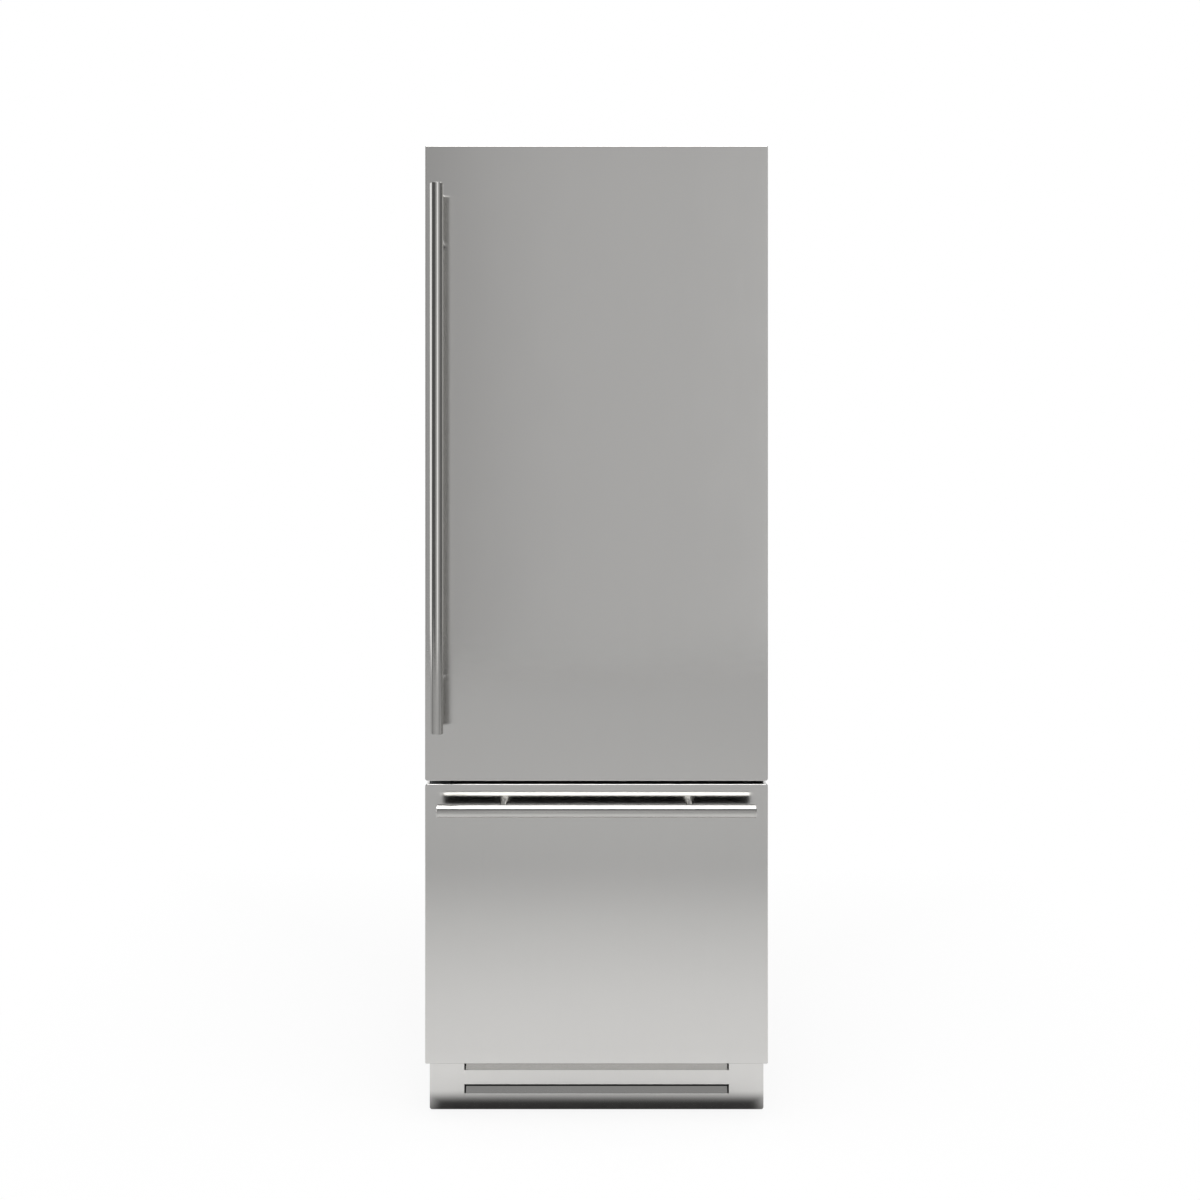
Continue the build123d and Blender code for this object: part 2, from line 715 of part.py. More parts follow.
# Duct covers with air slots
def duct_cover(half, y0, y1, z0, z1, fan_z, rows):
    cover = block(-half, half, y0, y1, z0, z1)
    cover = fillet(cover.faces().sort_by(Axis.Y)[0].edges(), 6)
    cover -= block(-half + 2.5, half - 2.5, y0 + 2.5, y1 + 1, z0 + 2.5, z1 - 2.5)
    for i in range(-4, 5):
        z = fan_z + i * 10
        reach = max(small_fan ** 2 - (i * 10) ** 2, 100) ** 0.5
        cover -= block(-reach, reach, y0 - 1, y0 + 4, z - 2.5, z + 2.5)
    for z in rows:
        for i in (-2, -1, 1, 2):
            x = i * half / 2.8
            cover -= block(x - 32, x + 32, y0 - 1, y0 + 4, z - 3, z + 3)
    return cover


vent_rows = [level + shelf_pitch * 0.45 for level in [lid_level] + shelf_levels[:-1]]
save(
    "fridge_duct_cover",
    duct_cover(x_in - 16, y_duct, y_fridge_back, fridge_cover_low, fridge_cover_top, fridge_fan_z, vent_rows)
)
save(
    "freezer_duct_cover",
    duct_cover(
        x_in - 24, y_freezer_duct, y_freezer_back, freezer_cover_low, freezer_cover_top, freezer_fan_z,
        [freezer_cover_low + 40, freezer_cover_low + 80]
    )
)

# Glass shelves, the crisper lid and the trim along each front edge
glass_half = x_in - 1.0
glass = [
    block(-glass_half, glass_half, y_glass, y_glass_back, level, level + shelf_thickness)
    for level in shelf_levels
]
save("glass_shelves", *glass)
save(
    "crisper_lid",
    block(-glass_half, glass_half, y_glass, y_glass_back, lid_level, lid_level + shelf_thickness)
)
trims = []
for level in [lid_level] + shelf_levels:
    trim = block(-glass_half, glass_half, y_shelf, y_glass + 12, level - 3, level + shelf_thickness + 3)
    trim = fillet(trim.faces().sort_by(Axis.Y)[0].edges().filter_by(Axis.X), 3)
    trims.append(trim - block(-x_in, x_in, y_glass, y_glass + 13, level, level + shelf_thickness))
save("shelf_trims", *trims)


# Crispers with a grip lip
def crisper(inset, extra):
    return upright_box(
        crisper_gap / 2 + inset, x_in - 6 - inset, y_crisper + inset, y_crisper_back - inset,
        crisper_base + inset, crisper_base + crisper_height + extra,
        crisper_radius - inset, crisper_radius - inset
    )


crisper_right = crisper(0, 0)
grip_x = (crisper_gap / 2 + x_in - 6) / 2
grip = block(
    grip_x - 70, grip_x + 70, y_crisper - 14, y_crisper + 1,
    crisper_base + crisper_height - 5, crisper_base + crisper_height
)
crisper_right += fillet(grip.edges().filter_by(Axis.Z).group_by(Axis.Y)[0], 10)
crisper_right -= crisper(crisper_wall, 1)
save("crisper_right", crisper_right)
save("crisper_left", mirrored(crisper_right))

# Control housing under the ceiling, its three buttons and the lamp lens
panel_reach = 170.0
panel_depth = 110.0
panel_height = 32.0
panel_wall = 4.0
panel_corner = 8.0
display_reach = 52.0
display_low = 7.0
display_high = 25.0
y_panel = y_plug + 44.0
y_panel_back = y_panel + panel_depth
z_panel = z_fridge_top - panel_height
control_housing = block(-panel_reach, panel_reach, y_panel, y_panel_back, z_panel, z_fridge_top)
control_housing = fillet(control_housing.edges().filter_by(Axis.Z), panel_corner)
control_housing = fillet(control_housing.faces().sort_by(Axis.Z)[0].edges(), 3)
control_housing -= block(
    -panel_reach + panel_wall, panel_reach - panel_wall, y_panel + panel_wall, y_panel_back - panel_wall,
    z_panel + panel_wall, z_fridge_top + 1
)
control_housing -= block(
    -display_reach, display_reach, y_panel - 1, y_panel + 1, z_panel + display_low, z_panel + display_high
)
button_names = ("button_power", "button_down", "button_up")
button_size = (26.0, 12.0)
button_play = 0.4
z_button = z_panel + 16.0
for name, x in zip(button_names, (-110.0, 80.0, 116.0)):
    control_housing -= block(
        x - button_size[0] / 2 - button_play, x + button_size[0] / 2 + button_play, y_panel - 1, y_panel + 5,
        z_button - button_size[1] / 2 - button_play, z_button + button_size[1] / 2 + button_play
    )
    button = block(
        x - button_size[0] / 2, x + button_size[0] / 2, y_panel - 2, y_panel + 7,
        z_button - button_size[1] / 2, z_button + button_size[1] / 2
    )
    button = fillet(button.faces().sort_by(Axis.Y)[0].edges(), 1.2)
    save(name, button)
save("control_housing", control_housing)
lamp_reach = 140.0
lamp_gap = 30.0
lamp_depth = 90.0
lamp_height = 10.0
lamp_corner = 12.0
y_lamp = y_panel_back + lamp_gap
z_lamp = z_fridge_top - lamp_height
lamp_lens = block(-lamp_reach, lamp_reach, y_lamp, y_lamp + lamp_depth, z_lamp, z_fridge_top)
lamp_lens = fillet(lamp_lens.edges().filter_by(Axis.Z), lamp_corner)
lamp_lens = fillet(lamp_lens.faces().sort_by(Axis.Z)[0].edges(), lamp_height / 2)
save("lamp_lens", lamp_lens)

# Top hinge: plate on the cabinet's top, arm into the door's pocket, pin downward
pocket_floor = z_top - 3.0
pin_depth = 20.0
top_hinge = block(
    x_hinge - hinge_plate_in, x_hinge + hinge_plate_out, y_front + 1, y_front + hinge_plate_depth,
    z_top, z_top + hinge_sheet
)
top_hinge += block(
    x_hinge - hinge_arm_half, x_hinge + hinge_arm_half, y_hinge, y_front + 2, z_top, z_top + hinge_sheet
)
top_hinge += rod("z", (x_hinge, y_hinge, z_top + hinge_sheet / 2), hinge_arm_half, hinge_sheet)
top_hinge += rod(
    "z", (x_hinge, y_hinge, (z_top + pocket_floor - pin_depth) / 2), hinge_pin_radius,
    z_top - pocket_floor + pin_depth
)
x_bolt = x_hinge - hinge_plate_in + hinge_bolt_inset
y_bolt = y_front + hinge_plate_depth - hinge_bolt_back
for x, y in ((x_bolt, y_front + hinge_bolt_front), (x_bolt, y_bolt), (x_hinge, y_bolt)):
    bolt = extrude(RegularPolygon(hinge_bolt_radius, 6), amount=hinge_bolt_height)
    top_hinge += Pos(x, y, z_top + hinge_sheet) * bolt
save("top_hinge", top_hinge)

# Lower hinge: arm in the gap between door and drawer, on a plate across the crossbar's end
arm_low = z_split - hinge_sheet / 2
arm_high = z_split + hinge_sheet / 2
lower_hinge = block(
    x_hinge - hinge_arm_half, x_hinge + hinge_arm_half, y_hinge, y_front, arm_low, arm_high
)
lower_hinge += rod("z", (x_hinge, y_hinge, z_split), hinge_arm_half, hinge_sheet)
lower_hinge += block(
    seal_half + hinge_seal_gap, max(body_half - 1, x_hinge + hinge_plate_out), y_front - 2, y_front,
    z_split - hinge_plate_rise, z_split + hinge_plate_rise
)
lower_hinge += rod(
    "z", (x_hinge, y_hinge, (arm_high + z_door + door_sheet + pin_depth) / 2), hinge_pin_radius,
    z_door + door_sheet + pin_depth - arm_high
)
collar_top = z_door - 0.1
lower_hinge += rod("z", (x_hinge, y_hinge, (arm_high + collar_top) / 2), 7, collar_top - arm_high)
save("lower_hinge", lower_hinge)

# Anti-tip bracket at the top rear, with two holes for wall screws
bracket_half = 90.0
bracket_hole = 3.25
bracket_hole_x = 70.0
bracket = block(-bracket_half, bracket_half, y_back - 42, y_back, z_top, z_top + 2)
bracket += block(-bracket_half, bracket_half, y_back - 2, y_back, z_top, z_door_top)
for x in (-bracket_hole_x, bracket_hole_x):
    bracket -= rod("y", (x, y_back - 1, (z_top + 2 + z_door_top) / 2), bracket_hole, 6)
save("anti_tip_bracket", bracket)

# Door: folded skin with a pocket for the top hinge arm
door_outside = door_shape(0, z_door, z_door_top, corner_by_gap, corner_at_end)
door_inside = door_shape(door_sheet, z_door, z_door_top, corner_by_gap, corner_at_end)
pocket = block(
    x_hinge - hinge_arm_half - 3, door_half + 1, y_hinge - 17.5, y_door_back + 1, pocket_floor, z_door_top + 1
)
pin_hole = rod("z", (x_hinge, y_hinge, z_door), hinge_pin_radius + 0.5, 8)
door_skin = door_outside - door_inside - pocket - pin_hole
save("door_skin", door_skin)

# Hinge blocks inside the door's right corners
block_x = x_hinge - 24.0
y_liner = y_door_back - door_liner_sheet
top_seat = block(block_x, door_half, y_face, y_liner, pocket_floor - pin_depth - 6, z_door_top)
low_seat = block(block_x, door_half, y_face, y_liner, z_door, z_door + door_sheet + pin_depth + 6)
bore_length = pin_depth + 1
top_block = (top_seat & door_inside) - pocket
top_block -= rod(
    "z", (x_hinge, y_hinge, pocket_floor - bore_length / 2 + 0.01),
    hinge_pin_radius + running_play, bore_length
)
low_block = low_seat & door_inside
low_block -= rod(
    "z", (x_hinge, y_hinge, z_door + door_sheet + bore_length / 2 - 0.01),
    hinge_pin_radius + running_play, bore_length
)
save("door_hinge_blocks", top_block, low_block)

# Door liner: plate, raised plug and two dykes with a pair of lugs for each bin
plug_low = z_fridge + 14.0
plug_top = z_fridge_top - 14.0
dyke_low = bin_first - 15.0
dyke_top = bin_first + (bin_count - 1) * bin_pitch + bin_height + 40.0
y_dyke = y_plug + dyke_depth
dyke_in = plug_half - dyke_width
t = door_liner_sheet
plug_outer = tub(-plug_half, plug_half, y_liner, y_plug, plug_low, plug_top, 8)
plug_inner = tub(-plug_half + t, plug_half - t, y_liner, y_plug - t, plug_low + t, plug_top - t, 6)
dyke_outer = tub(dyke_in, plug_half, y_liner, y_dyke, dyke_low, dyke_top, 5)
dyke_inner = tub(dyke_in + t, plug_half - t, y_liner, y_dyke - t, dyke_low + t, dyke_top - t, 3)
door_liner = (door_inside & block(-door_half, door_half, y_liner, y_door_back, z_door, z_door_top)) - pocket
door_liner += plug_outer
for dyke in (dyke_outer, mirrored(dyke_outer)):
    door_liner += dyke
door_liner -= plug_inner
for dyke in (dyke_inner, mirrored(dyke_inner)):
    door_liner -= dyke
bin_levels = [bin_first + i * bin_pitch for i in range(bin_count)]
lug_reach = 6.5
lug_y = (y_plug + 25.0, y_plug + 65.0)
lug_z = (48.0, 58.0)
for level in bin_levels:
    lug = block(dyke_in - lug_reach, dyke_in + 1, lug_y[0], lug_y[1], level + lug_z[0], level + lug_z[1])
    door_liner += lug
    door_liner += mirrored(lug)
save("door_liner", door_liner)

# Door foam
door_foam = door_inside & block(-door_half, door_half, y_face, y_liner, z_door, z_door_top)
door_foam -= top_seat
door_foam -= low_seat
door_foam += plug_inner
for dyke in (dyke_inner, mirrored(dyke_inner)):
    door_foam += dyke
save("door_foam", door_foam)

# Gaskets
save("door_gasket", gasket(seal_half, z_door + seal_inset, z_top - 6.0))
save("drawer_gasket", gasket(seal_half, z_drawer + seal_inset, z_drawer_top - seal_inset))

# Door handle: round bar on two posts
x_bar = -door_half + door_bar_inset
bar_low = z_door + door_bar_above
bar_top = z_door_top - door_bar_below
door_bar = rod("z", (x_bar, y_bar, (bar_low + bar_top) / 2), bar_diameter / 2, bar_top - bar_low)
door_bar_plain = door_bar
door_bar = chamfer(door_bar.edges().filter_by(GeomType.CIRCLE), bar_chamfer)
save("door_handle_bar", door_bar)
door_posts = []
for z in (bar_low + door_post_inset, bar_top - door_post_inset):
    post = rod("y", (x_bar, (y_face + y_bar) / 2, z), post_diameter / 2, y_face - y_bar)
    door_posts.append(post - door_bar_plain)
save("door_handle_posts", *door_posts)

# Door bins that hang on the lugs
bin_half = dyke_in - bin_play
for i, level in enumerate(bin_levels):
    y0 = y_plug + 0.3
    y1 = y_plug + bin_depth
    shelf_bin = upright_box(-bin_half, bin_half, y0, y1, level, level + bin_height, 8, 3)
    shelf_bin -= upright_box(
        -bin_half + bin_wall, bin_half - bin_wall, y0 + bin_wall, y1 - bin_wall, level + bin_wall,
        level + bin_height + 1, 5.5, 1
    )
    pocket_in = dyke_in - lug_reach - 1.0
    pad = block(
        pocket_in - bin_wall, bin_half - 1, lug_y[0] - 4, lug_y[1] + 4, level + 1, level + lug_z[1] + 4
    )
    notch = block(
        pocket_in, bin_half + 1, lug_y[0] - 0.5, lug_y[1] + 0.5, level - 1, level + lug_z[1] + 0.2
    )
    for side in (pad, mirrored(pad)):
        shelf_bin += side
    for side in (notch, mirrored(notch)):
        shelf_bin -= side
    save(f"door_bin_{i + 1}", shelf_bin)

# Drawer front: skin, liner with a shallow panel, foam
drawer_outside = door_shape(0, z_drawer, z_drawer_top, corner_at_end, corner_by_gap)
drawer_inside = door_shape(door_sheet, z_drawer, z_drawer_top, corner_at_end, corner_by_gap)
save("drawer_skin", drawer_outside - drawer_inside)
panel_half_width = x_in - 64.0
drawer_panel_depth = 6.0
drawer_liner = drawer_inside & block(-door_half, door_half, y_liner, y_door_back, z_drawer, z_drawer_top)
drawer_liner += tub(
    -panel_half_width, panel_half_width, y_liner, y_door_back + drawer_panel_depth,
    z_freezer + 20, z_freezer_top - 20, 4
)
panel_inner = tub(
    -panel_half_width + t, panel_half_width - t, y_liner, y_door_back + drawer_panel_depth - t,
    z_freezer + 20 + t, z_freezer_top - 20 - t, 2
)
drawer_liner -= panel_inner
save("drawer_liner", drawer_liner)
drawer_foam = drawer_inside & block(-door_half, door_half, y_face, y_liner, z_drawer, z_drawer_top)
drawer_foam += panel_inner
save("drawer_foam", drawer_foam)

# Drawer handle
z_bar = z_drawer_top - drawer_bar_drop
drawer_bar = rod("x", (0, y_bar, z_bar), bar_diameter / 2, drawer_bar_length)
drawer_bar_plain = drawer_bar
drawer_bar = chamfer(drawer_bar.edges().filter_by(GeomType.CIRCLE), bar_chamfer)
save("drawer_handle_bar", drawer_bar)
drawer_posts = []
for x in (-x_post, x_post):
    post = rod("y", (x, (y_face + y_bar) / 2, z_bar), post_diameter / 2, y_face - y_bar)
    drawer_posts.append(post - drawer_bar_plain)
save("drawer_handle_posts", *drawer_posts)

# Telescopic rails: outer on the liner, middle, and inner with the drawer's frame
z_rail = z_freezer_top - rail_drop
y_rail = y_front + 4.0
y_rail_end = y_rail + rail_length
rail_reach = 13.0


def channel(x_web, x_open, z0, z1):
    rail = block(x_open, x_web, y_rail, y_rail_end, z0, z1)
    return rail - block(
        x_open - 1, x_web - rail_sheet, y_rail - 1, y_rail_end + 1, z0 + rail_sheet, z1 - rail_sheet
    )


nest = rail_sheet + rail_play
outer_rail = channel(x_in, x_in - rail_reach, z_rail, z_rail + rail_height)
middle_rail = channel(x_in - nest - 1, x_in - rail_reach - 1, z_rail + nest, z_rail + rail_height - nest)
x_inner = x_in - rail_reach - 2
inner_rail = channel(x_in - 2 * nest - 2, x_inner, z_rail + 2 * nest, z_rail + rail_height - 2 * nest)
save("drawer_rails_outer", outer_rail, mirrored(outer_rail))
save("drawer_rails_middle", middle_rail, mirrored(middle_rail))
frame_sheet = 1.5
z_shelf_leg = z_rail + rail_height + 7.0
x_leg = x_inner - 21.0
frame_side = block(x_inner - frame_sheet, x_inner, y_door_back, y_rail_end, z_rail + 2 * nest, z_shelf_leg)
frame_side += block(x_leg, x_inner, y_door_back, y_rail_end, z_shelf_leg - frame_sheet, z_shelf_leg)
frame_side += block(x_leg - 22, x_inner, y_door_back, y_door_back + 2, z_rail - 30, z_shelf_leg)
frame_side += inner_rail
save("drawer_frame", frame_side, mirrored(frame_side))

# Freezer bin, stepped at the back and hung by its rim on the frame
w = freezer_bin_wall
y_bin = y_front + 6.0
bin_points = [
    (y_bin, z_freezer + 12), (y_step - 14, z_freezer + 12), (y_step - 14, z_step + 12),
    (y_freezer_duct - 16, z_step + 12), (y_freezer_duct - 16, z_shelf_leg + 4), (y_bin, z_shelf_leg + 4)
]
hollow_points = [
    (y_bin + w, z_freezer + 12 + w), (y_step - 14 - w, z_freezer + 12 + w),
    (y_step - 14 - w, z_step + 12 + w),
    (y_freezer_duct - 16 - w, z_step + 12 + w), (y_freezer_duct - 16 - w, z_shelf_leg + 30),
    (y_bin + w, z_shelf_leg + 30)
]
freezer_bin_half = x_leg - 2.0
drawer_bin = prism_x(bin_points, -freezer_bin_half, freezer_bin_half)
drawer_bin = fillet(
    [e for e in drawer_bin.edges().filter_by(Axis.X) if e.center().Z < z_shelf_leg], 12
)
drawer_bin += block(
    -x_inner + 3, x_inner - 3, y_bin, y_freezer_duct - 14, z_shelf_leg, z_shelf_leg + 4
)
hollow = prism_x(hollow_points, -freezer_bin_half + w, freezer_bin_half - w)
hollow = fillet([e for e in hollow.edges().filter_by(Axis.X) if e.center().Z < z_shelf_leg], 9)
drawer_bin -= hollow
save("drawer_bin", drawer_bin)

# Sliding tray that rides on the bin's rim
tray_half = freezer_bin_half - w - 3.0
tray_top = z_shelf_leg + 4.2
y_tray = y_bin + w + 3.0
freezer_tray = upright_box(
    -tray_half, tray_half, y_tray, y_tray + tray_depth, tray_top - tray_height, tray_top + 3, 10, 6
)
freezer_tray += block(
    -freezer_bin_half - 6, freezer_bin_half + 6, y_tray + 12, y_tray + tray_depth - 12, tray_top, tray_top + 3
)
freezer_tray -= upright_box(
    -tray_half + 2.5, tray_half - 2.5, y_tray + 2.5, y_tray + tray_depth - 2.5, tray_top - tray_height + 2.5,
    tray_top + 4, 7.5, 3.5
)
save("freezer_tray", freezer_tray)
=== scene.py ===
import json
import math

import bmesh
import bpy
from mathutils import Matrix, Vector


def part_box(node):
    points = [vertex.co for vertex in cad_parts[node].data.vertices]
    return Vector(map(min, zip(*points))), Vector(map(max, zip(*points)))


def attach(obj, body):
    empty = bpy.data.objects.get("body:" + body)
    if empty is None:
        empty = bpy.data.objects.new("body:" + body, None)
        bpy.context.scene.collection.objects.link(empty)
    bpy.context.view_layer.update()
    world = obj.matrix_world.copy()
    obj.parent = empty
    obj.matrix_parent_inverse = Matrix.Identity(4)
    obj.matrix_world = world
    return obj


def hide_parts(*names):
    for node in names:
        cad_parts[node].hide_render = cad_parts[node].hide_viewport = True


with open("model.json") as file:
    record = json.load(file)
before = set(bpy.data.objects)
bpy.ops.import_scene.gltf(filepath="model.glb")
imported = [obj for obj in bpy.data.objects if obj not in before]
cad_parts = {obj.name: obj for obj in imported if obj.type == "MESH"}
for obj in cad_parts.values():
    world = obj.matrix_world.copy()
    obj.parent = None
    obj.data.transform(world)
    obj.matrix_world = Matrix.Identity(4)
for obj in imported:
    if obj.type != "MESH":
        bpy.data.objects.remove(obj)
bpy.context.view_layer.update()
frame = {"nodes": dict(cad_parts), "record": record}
nodes = frame["nodes"]
mm = 0.001
print("frame loaded:", len(nodes), "nodes")


def linear(hexColour):
    # sRGB hex to the linear values that Blender's sockets take
    channels = [int(hexColour[i:i + 2], 16) / 255 for i in (1, 3, 5)]
    return [c / 12.92 if c <= 0.04045 else ((c + 0.055) / 1.055) ** 2.4 for c in channels] + [1.0]


def addNode(tree, kind, inputs=None, **settings):
    # one node with its settings, and a value or a link for each input
    node = tree.nodes.new(kind)
    for name, value in settings.items():
        setattr(node, name, value)
    for socket, value in (inputs or {}).items():
        if isinstance(value, bpy.types.NodeSocket):
            tree.links.new(value, node.inputs[socket])
        else:
            node.inputs[socket].default_value = value
    return node


def newMaterial(name):
    material = bpy.data.materials.new(name)
    material.use_nodes = True
    tree = material.node_tree
    tree.nodes.clear()
    shader = addNode(tree, "ShaderNodeBsdfPrincipled")
    addNode(tree, "ShaderNodeOutputMaterial", {"Surface": shader.outputs["BSDF"]})
    place = addNode(tree, "ShaderNodeTexCoord").outputs["Object"]
    return material, tree, shader, place


def perMetre(*sizesInMm):
    # a mapping scale at which a pattern has these sizes along X, Y and Z
    return [1000 / size for size in sizesInMm]


noiseSpan = (0.25, 0.75)  # nearly all of a noise's values lie between these


def fillRamp(ramp, stops):
    # grey levels at their places along a colour ramp
    elements = ramp.color_ramp.elements
    elements[1].position = 1.0
    for place, _ in stops[1:-1]:
        elements.new(place)
    for element, (place, level) in zip(elements, stops):
        element.position = place
        element.color = (level, level, level, 1)


def seenDirectly(tree):
    # 1 for what the camera sees straight on or through glass, 0 for reflections and bounced light
    path = addNode(tree, "ShaderNodeLightPath")
    return addNode(tree, "ShaderNodeMath",
                   {0: path.outputs["Is Camera Ray"], 1: path.outputs["Is Transmission Ray"]},
                   operation="MAXIMUM")


# camera: level, at the photograph's eye height and framed by its shift
camera = {"lens": 37.0, "sensor": 36.0, "place": (0.0076, -3.008, 1.349), "shift": -0.0792, "clipEnd": 60.0}
lens = bpy.data.cameras.new("camera")
lens.lens = camera["lens"]
lens.sensor_width = camera["sensor"]
lens.shift_y = camera["shift"]
lens.clip_end = camera["clipEnd"]
eye = bpy.data.objects.new("camera", lens)
eye.location = camera["place"]
eye.rotation_euler = (math.radians(90), 0, 0)
bpy.context.scene.collection.objects.link(eye)
bpy.context.scene.camera = eye
bpy.context.scene.view_settings.view_transform = "Standard"

# studio: white behind the object, and a room of grey tones with a bright strip on each side
studio = {
    # brightness of the room at each turn to the right of straight in front of the door, in degrees
    "zones": [(-180, 1.0), (-140, 1.4), (-88, 1.4), (-76, 0.14), (-40, 0.13), (-14, 0.18), (-5, 0.63),
              (-2, 0.67), (5, 0.59), (12, 0.46), (15, 1.5), (27, 1.5), (35, 0.8), (60, 0.4), (90, 0.13),
              (140, 0.1), (150, 1.0), (180, 1.0)],
    # and above the room, at each sine of the height angle: a dark band, then the lit ceiling
    "upper": [(0.36, 0.38), (0.6, 0.34), (0.68, 0.18), (0.8, 0.18), (0.87, 1.0)],
    "upperFrom": 0.29, "upperTo": 0.36,
    # width of the floor, and how many millimetres it lies below the feet, so that no faces coincide
    "floorSize": 16.0, "floorDrop": 0.3,
    # share of the object's shadow that the camera sees on the floor, and where it has faded out
    "floorShadow": 0.11, "shadowEnd": 1.2,
    # reflectance of the paper floor at each distance in front of the door's face, in metres: painted light,
    # highest beside the door, falling to 0.545 at 1.87 m and rising again far out, for the steel to reflect
    "paintedFloorLight": [(0.06, 0.96), (0.2, 0.93), (0.36, 0.83), (0.54, 0.8), (0.74, 0.76), (0.97, 0.71),
                   (1.22, 0.665), (1.53, 0.6), (1.87, 0.545), (3.6, 0.8), (5.4, 0.98), (6.5, 1.0)],
    # painted shadow: the floor's reflectance is dark under the object and this far out past its footprint
    "shade": 0.1, "shadeFrom": -0.03, "shadeTo": 0.035,
    # the camera sees that painted shadow only within the case's footprint, up to this far from its edge
    "darkFrom": -0.012, "darkTo": -0.002,
}
world = bpy.data.worlds.new("studio")
world.use_nodes = True
bpy.context.scene.world = world
tree = world.node_tree
tree.nodes.clear()
ray = addNode(tree, "ShaderNodeSeparateXYZ", {0: addNode(tree, "ShaderNodeTexCoord").outputs["Generated"]})
front = addNode(tree, "ShaderNodeMath", {0: ray.outputs["Y"], 1: -1.0}, operation="MULTIPLY")
turn = addNode(tree, "ShaderNodeMath", {0: ray.outputs["X"], 1: front.outputs[0]}, operation="ARCTAN2")
compass = addNode(tree, "ShaderNodeMapRange",
                  {"Value": turn.outputs[0], "From Min": -math.pi, "From Max": math.pi})
room = addNode(tree, "ShaderNodeValToRGB", {"Fac": compass.outputs["Result"]})
fillRamp(room, [((degrees + 180) / 360, level) for degrees, level in studio["zones"]])
rise = addNode(tree, "ShaderNodeMapRange",
               {"Value": ray.outputs["Z"], "From Min": studio["upperFrom"], "From Max": studio["upperTo"]},
               interpolation_type="SMOOTHSTEP")
upper = addNode(tree, "ShaderNodeValToRGB", {"Fac": ray.outputs["Z"]})
fillRamp(upper, studio["upper"])
dome = addNode(tree, "ShaderNodeMix",
               {0: rise.outputs["Result"], 6: room.outputs["Color"], 7: upper.outputs["Color"]},
               data_type="RGBA")
glow = addNode(tree, "ShaderNodeBackground", {"Color": dome.outputs[2], "Strength": 1.0})
white = addNode(tree, "ShaderNodeBackground", {"Color": (1, 1, 1, 1), "Strength": 1.0})
both = addNode(tree, "ShaderNodeMixShader",
               {0: seenDirectly(tree).outputs[0], 1: glow.outputs[0], 2: white.outputs[0]})
addNode(tree, "ShaderNodeOutputWorld", {"Surface": both.outputs[0]})

lamps = [
    {"name": "overhead_softbox", "place": (0, -1.1, 3.5), "aim": (0, -0.9, 0), "size": (2.2, 2.0),
     "watts": 80, "mirrored": True},
    {"name": "right_softbox", "place": (3.3, -2.2, 2.3), "aim": (0, 0, 1.2), "size": (0.9, 1.6),
     "watts": 20, "mirrored": False},
]
for lamp in lamps:
    data = bpy.data.lights.new(lamp["name"], "AREA")
    data.shape = "RECTANGLE"
    data.size, data.size_y = lamp["size"]
    data.energy = lamp["watts"]
    light = bpy.data.objects.new(lamp["name"], data)
    light.location = lamp["place"]
    aim = Vector(lamp["aim"]) - Vector(lamp["place"])
    light.rotation_euler = aim.to_track_quat("-Z", "Y").to_euler()
    light.visible_glossy = lamp["mirrored"]
    bpy.context.scene.collection.objects.link(light)


def outsideOf(tree, place, low, high):
    # how far a point of the floor lies outside a footprint, less than 0 within it
    middle = addNode(tree, "ShaderNodeVectorMath", {0: place, 1: (low + high) / 2}, operation="SUBTRACT")
    beside = addNode(tree, "ShaderNodeVectorMath", {0: middle.outputs[0]}, operation="ABSOLUTE")
    past = addNode(tree, "ShaderNodeVectorMath",
                   {0: beside.outputs[0], 1: (high - low) / 2}, operation="SUBTRACT")
    sides = addNode(tree, "ShaderNodeSeparateXYZ", {0: past.outputs[0]})
    return addNode(tree, "ShaderNodeMath",
                   {0: sides.outputs["X"], 1: sides.outputs["Y"]}, operation="MAXIMUM")


floorMaterial = bpy.data.materials.new("white_paper_floor")
floorMaterial.use_nodes = True
tree = floorMaterial.node_tree
tree.nodes.clear()
place = addNode(tree, "ShaderNodeTexCoord").outputs["Object"]
spot = addNode(tree, "ShaderNodeSeparateXYZ", {0: place})
doorLow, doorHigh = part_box("door_skin")
caseLow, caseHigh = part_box("outer_case")
nearest = studio["paintedFloorLight"][0][0]
furthest = studio["paintedFloorLight"][-1][0]
away = addNode(tree, "ShaderNodeMapRange",
               {"Value": spot.outputs["Y"], "From Min": doorLow.y - nearest,
                "From Max": doorLow.y - furthest})
# painted light: the floor's reflectance ramp by distance from the door
tones = addNode(tree, "ShaderNodeValToRGB", {"Fac": away.outputs["Result"]})
fillRamp(tones, [((d - nearest) / (furthest - nearest), level) for d, level in studio["paintedFloorLight"]])
outside = outsideOf(tree, place, Vector((doorLow.x, doorLow.y, 0)), Vector((doorHigh.x, caseHigh.y, 0)))
lit = addNode(tree, "ShaderNodeMapRange",
              {"Value": outside.outputs[0], "From Min": studio["shadeFrom"], "From Max": studio["shadeTo"]},
              interpolation_type="SMOOTHSTEP")
# painted shadow mixed into the paper's reflectance under and around the object
ground = addNode(tree, "ShaderNodeMix",
                 {0: lit.outputs["Result"], 6: [studio["shade"]] * 3 + [1], 7: tones.outputs["Color"]},
                 data_type="RGBA")
paper = addNode(tree, "ShaderNodeBsdfDiffuse", {"Color": ground.outputs[2]})
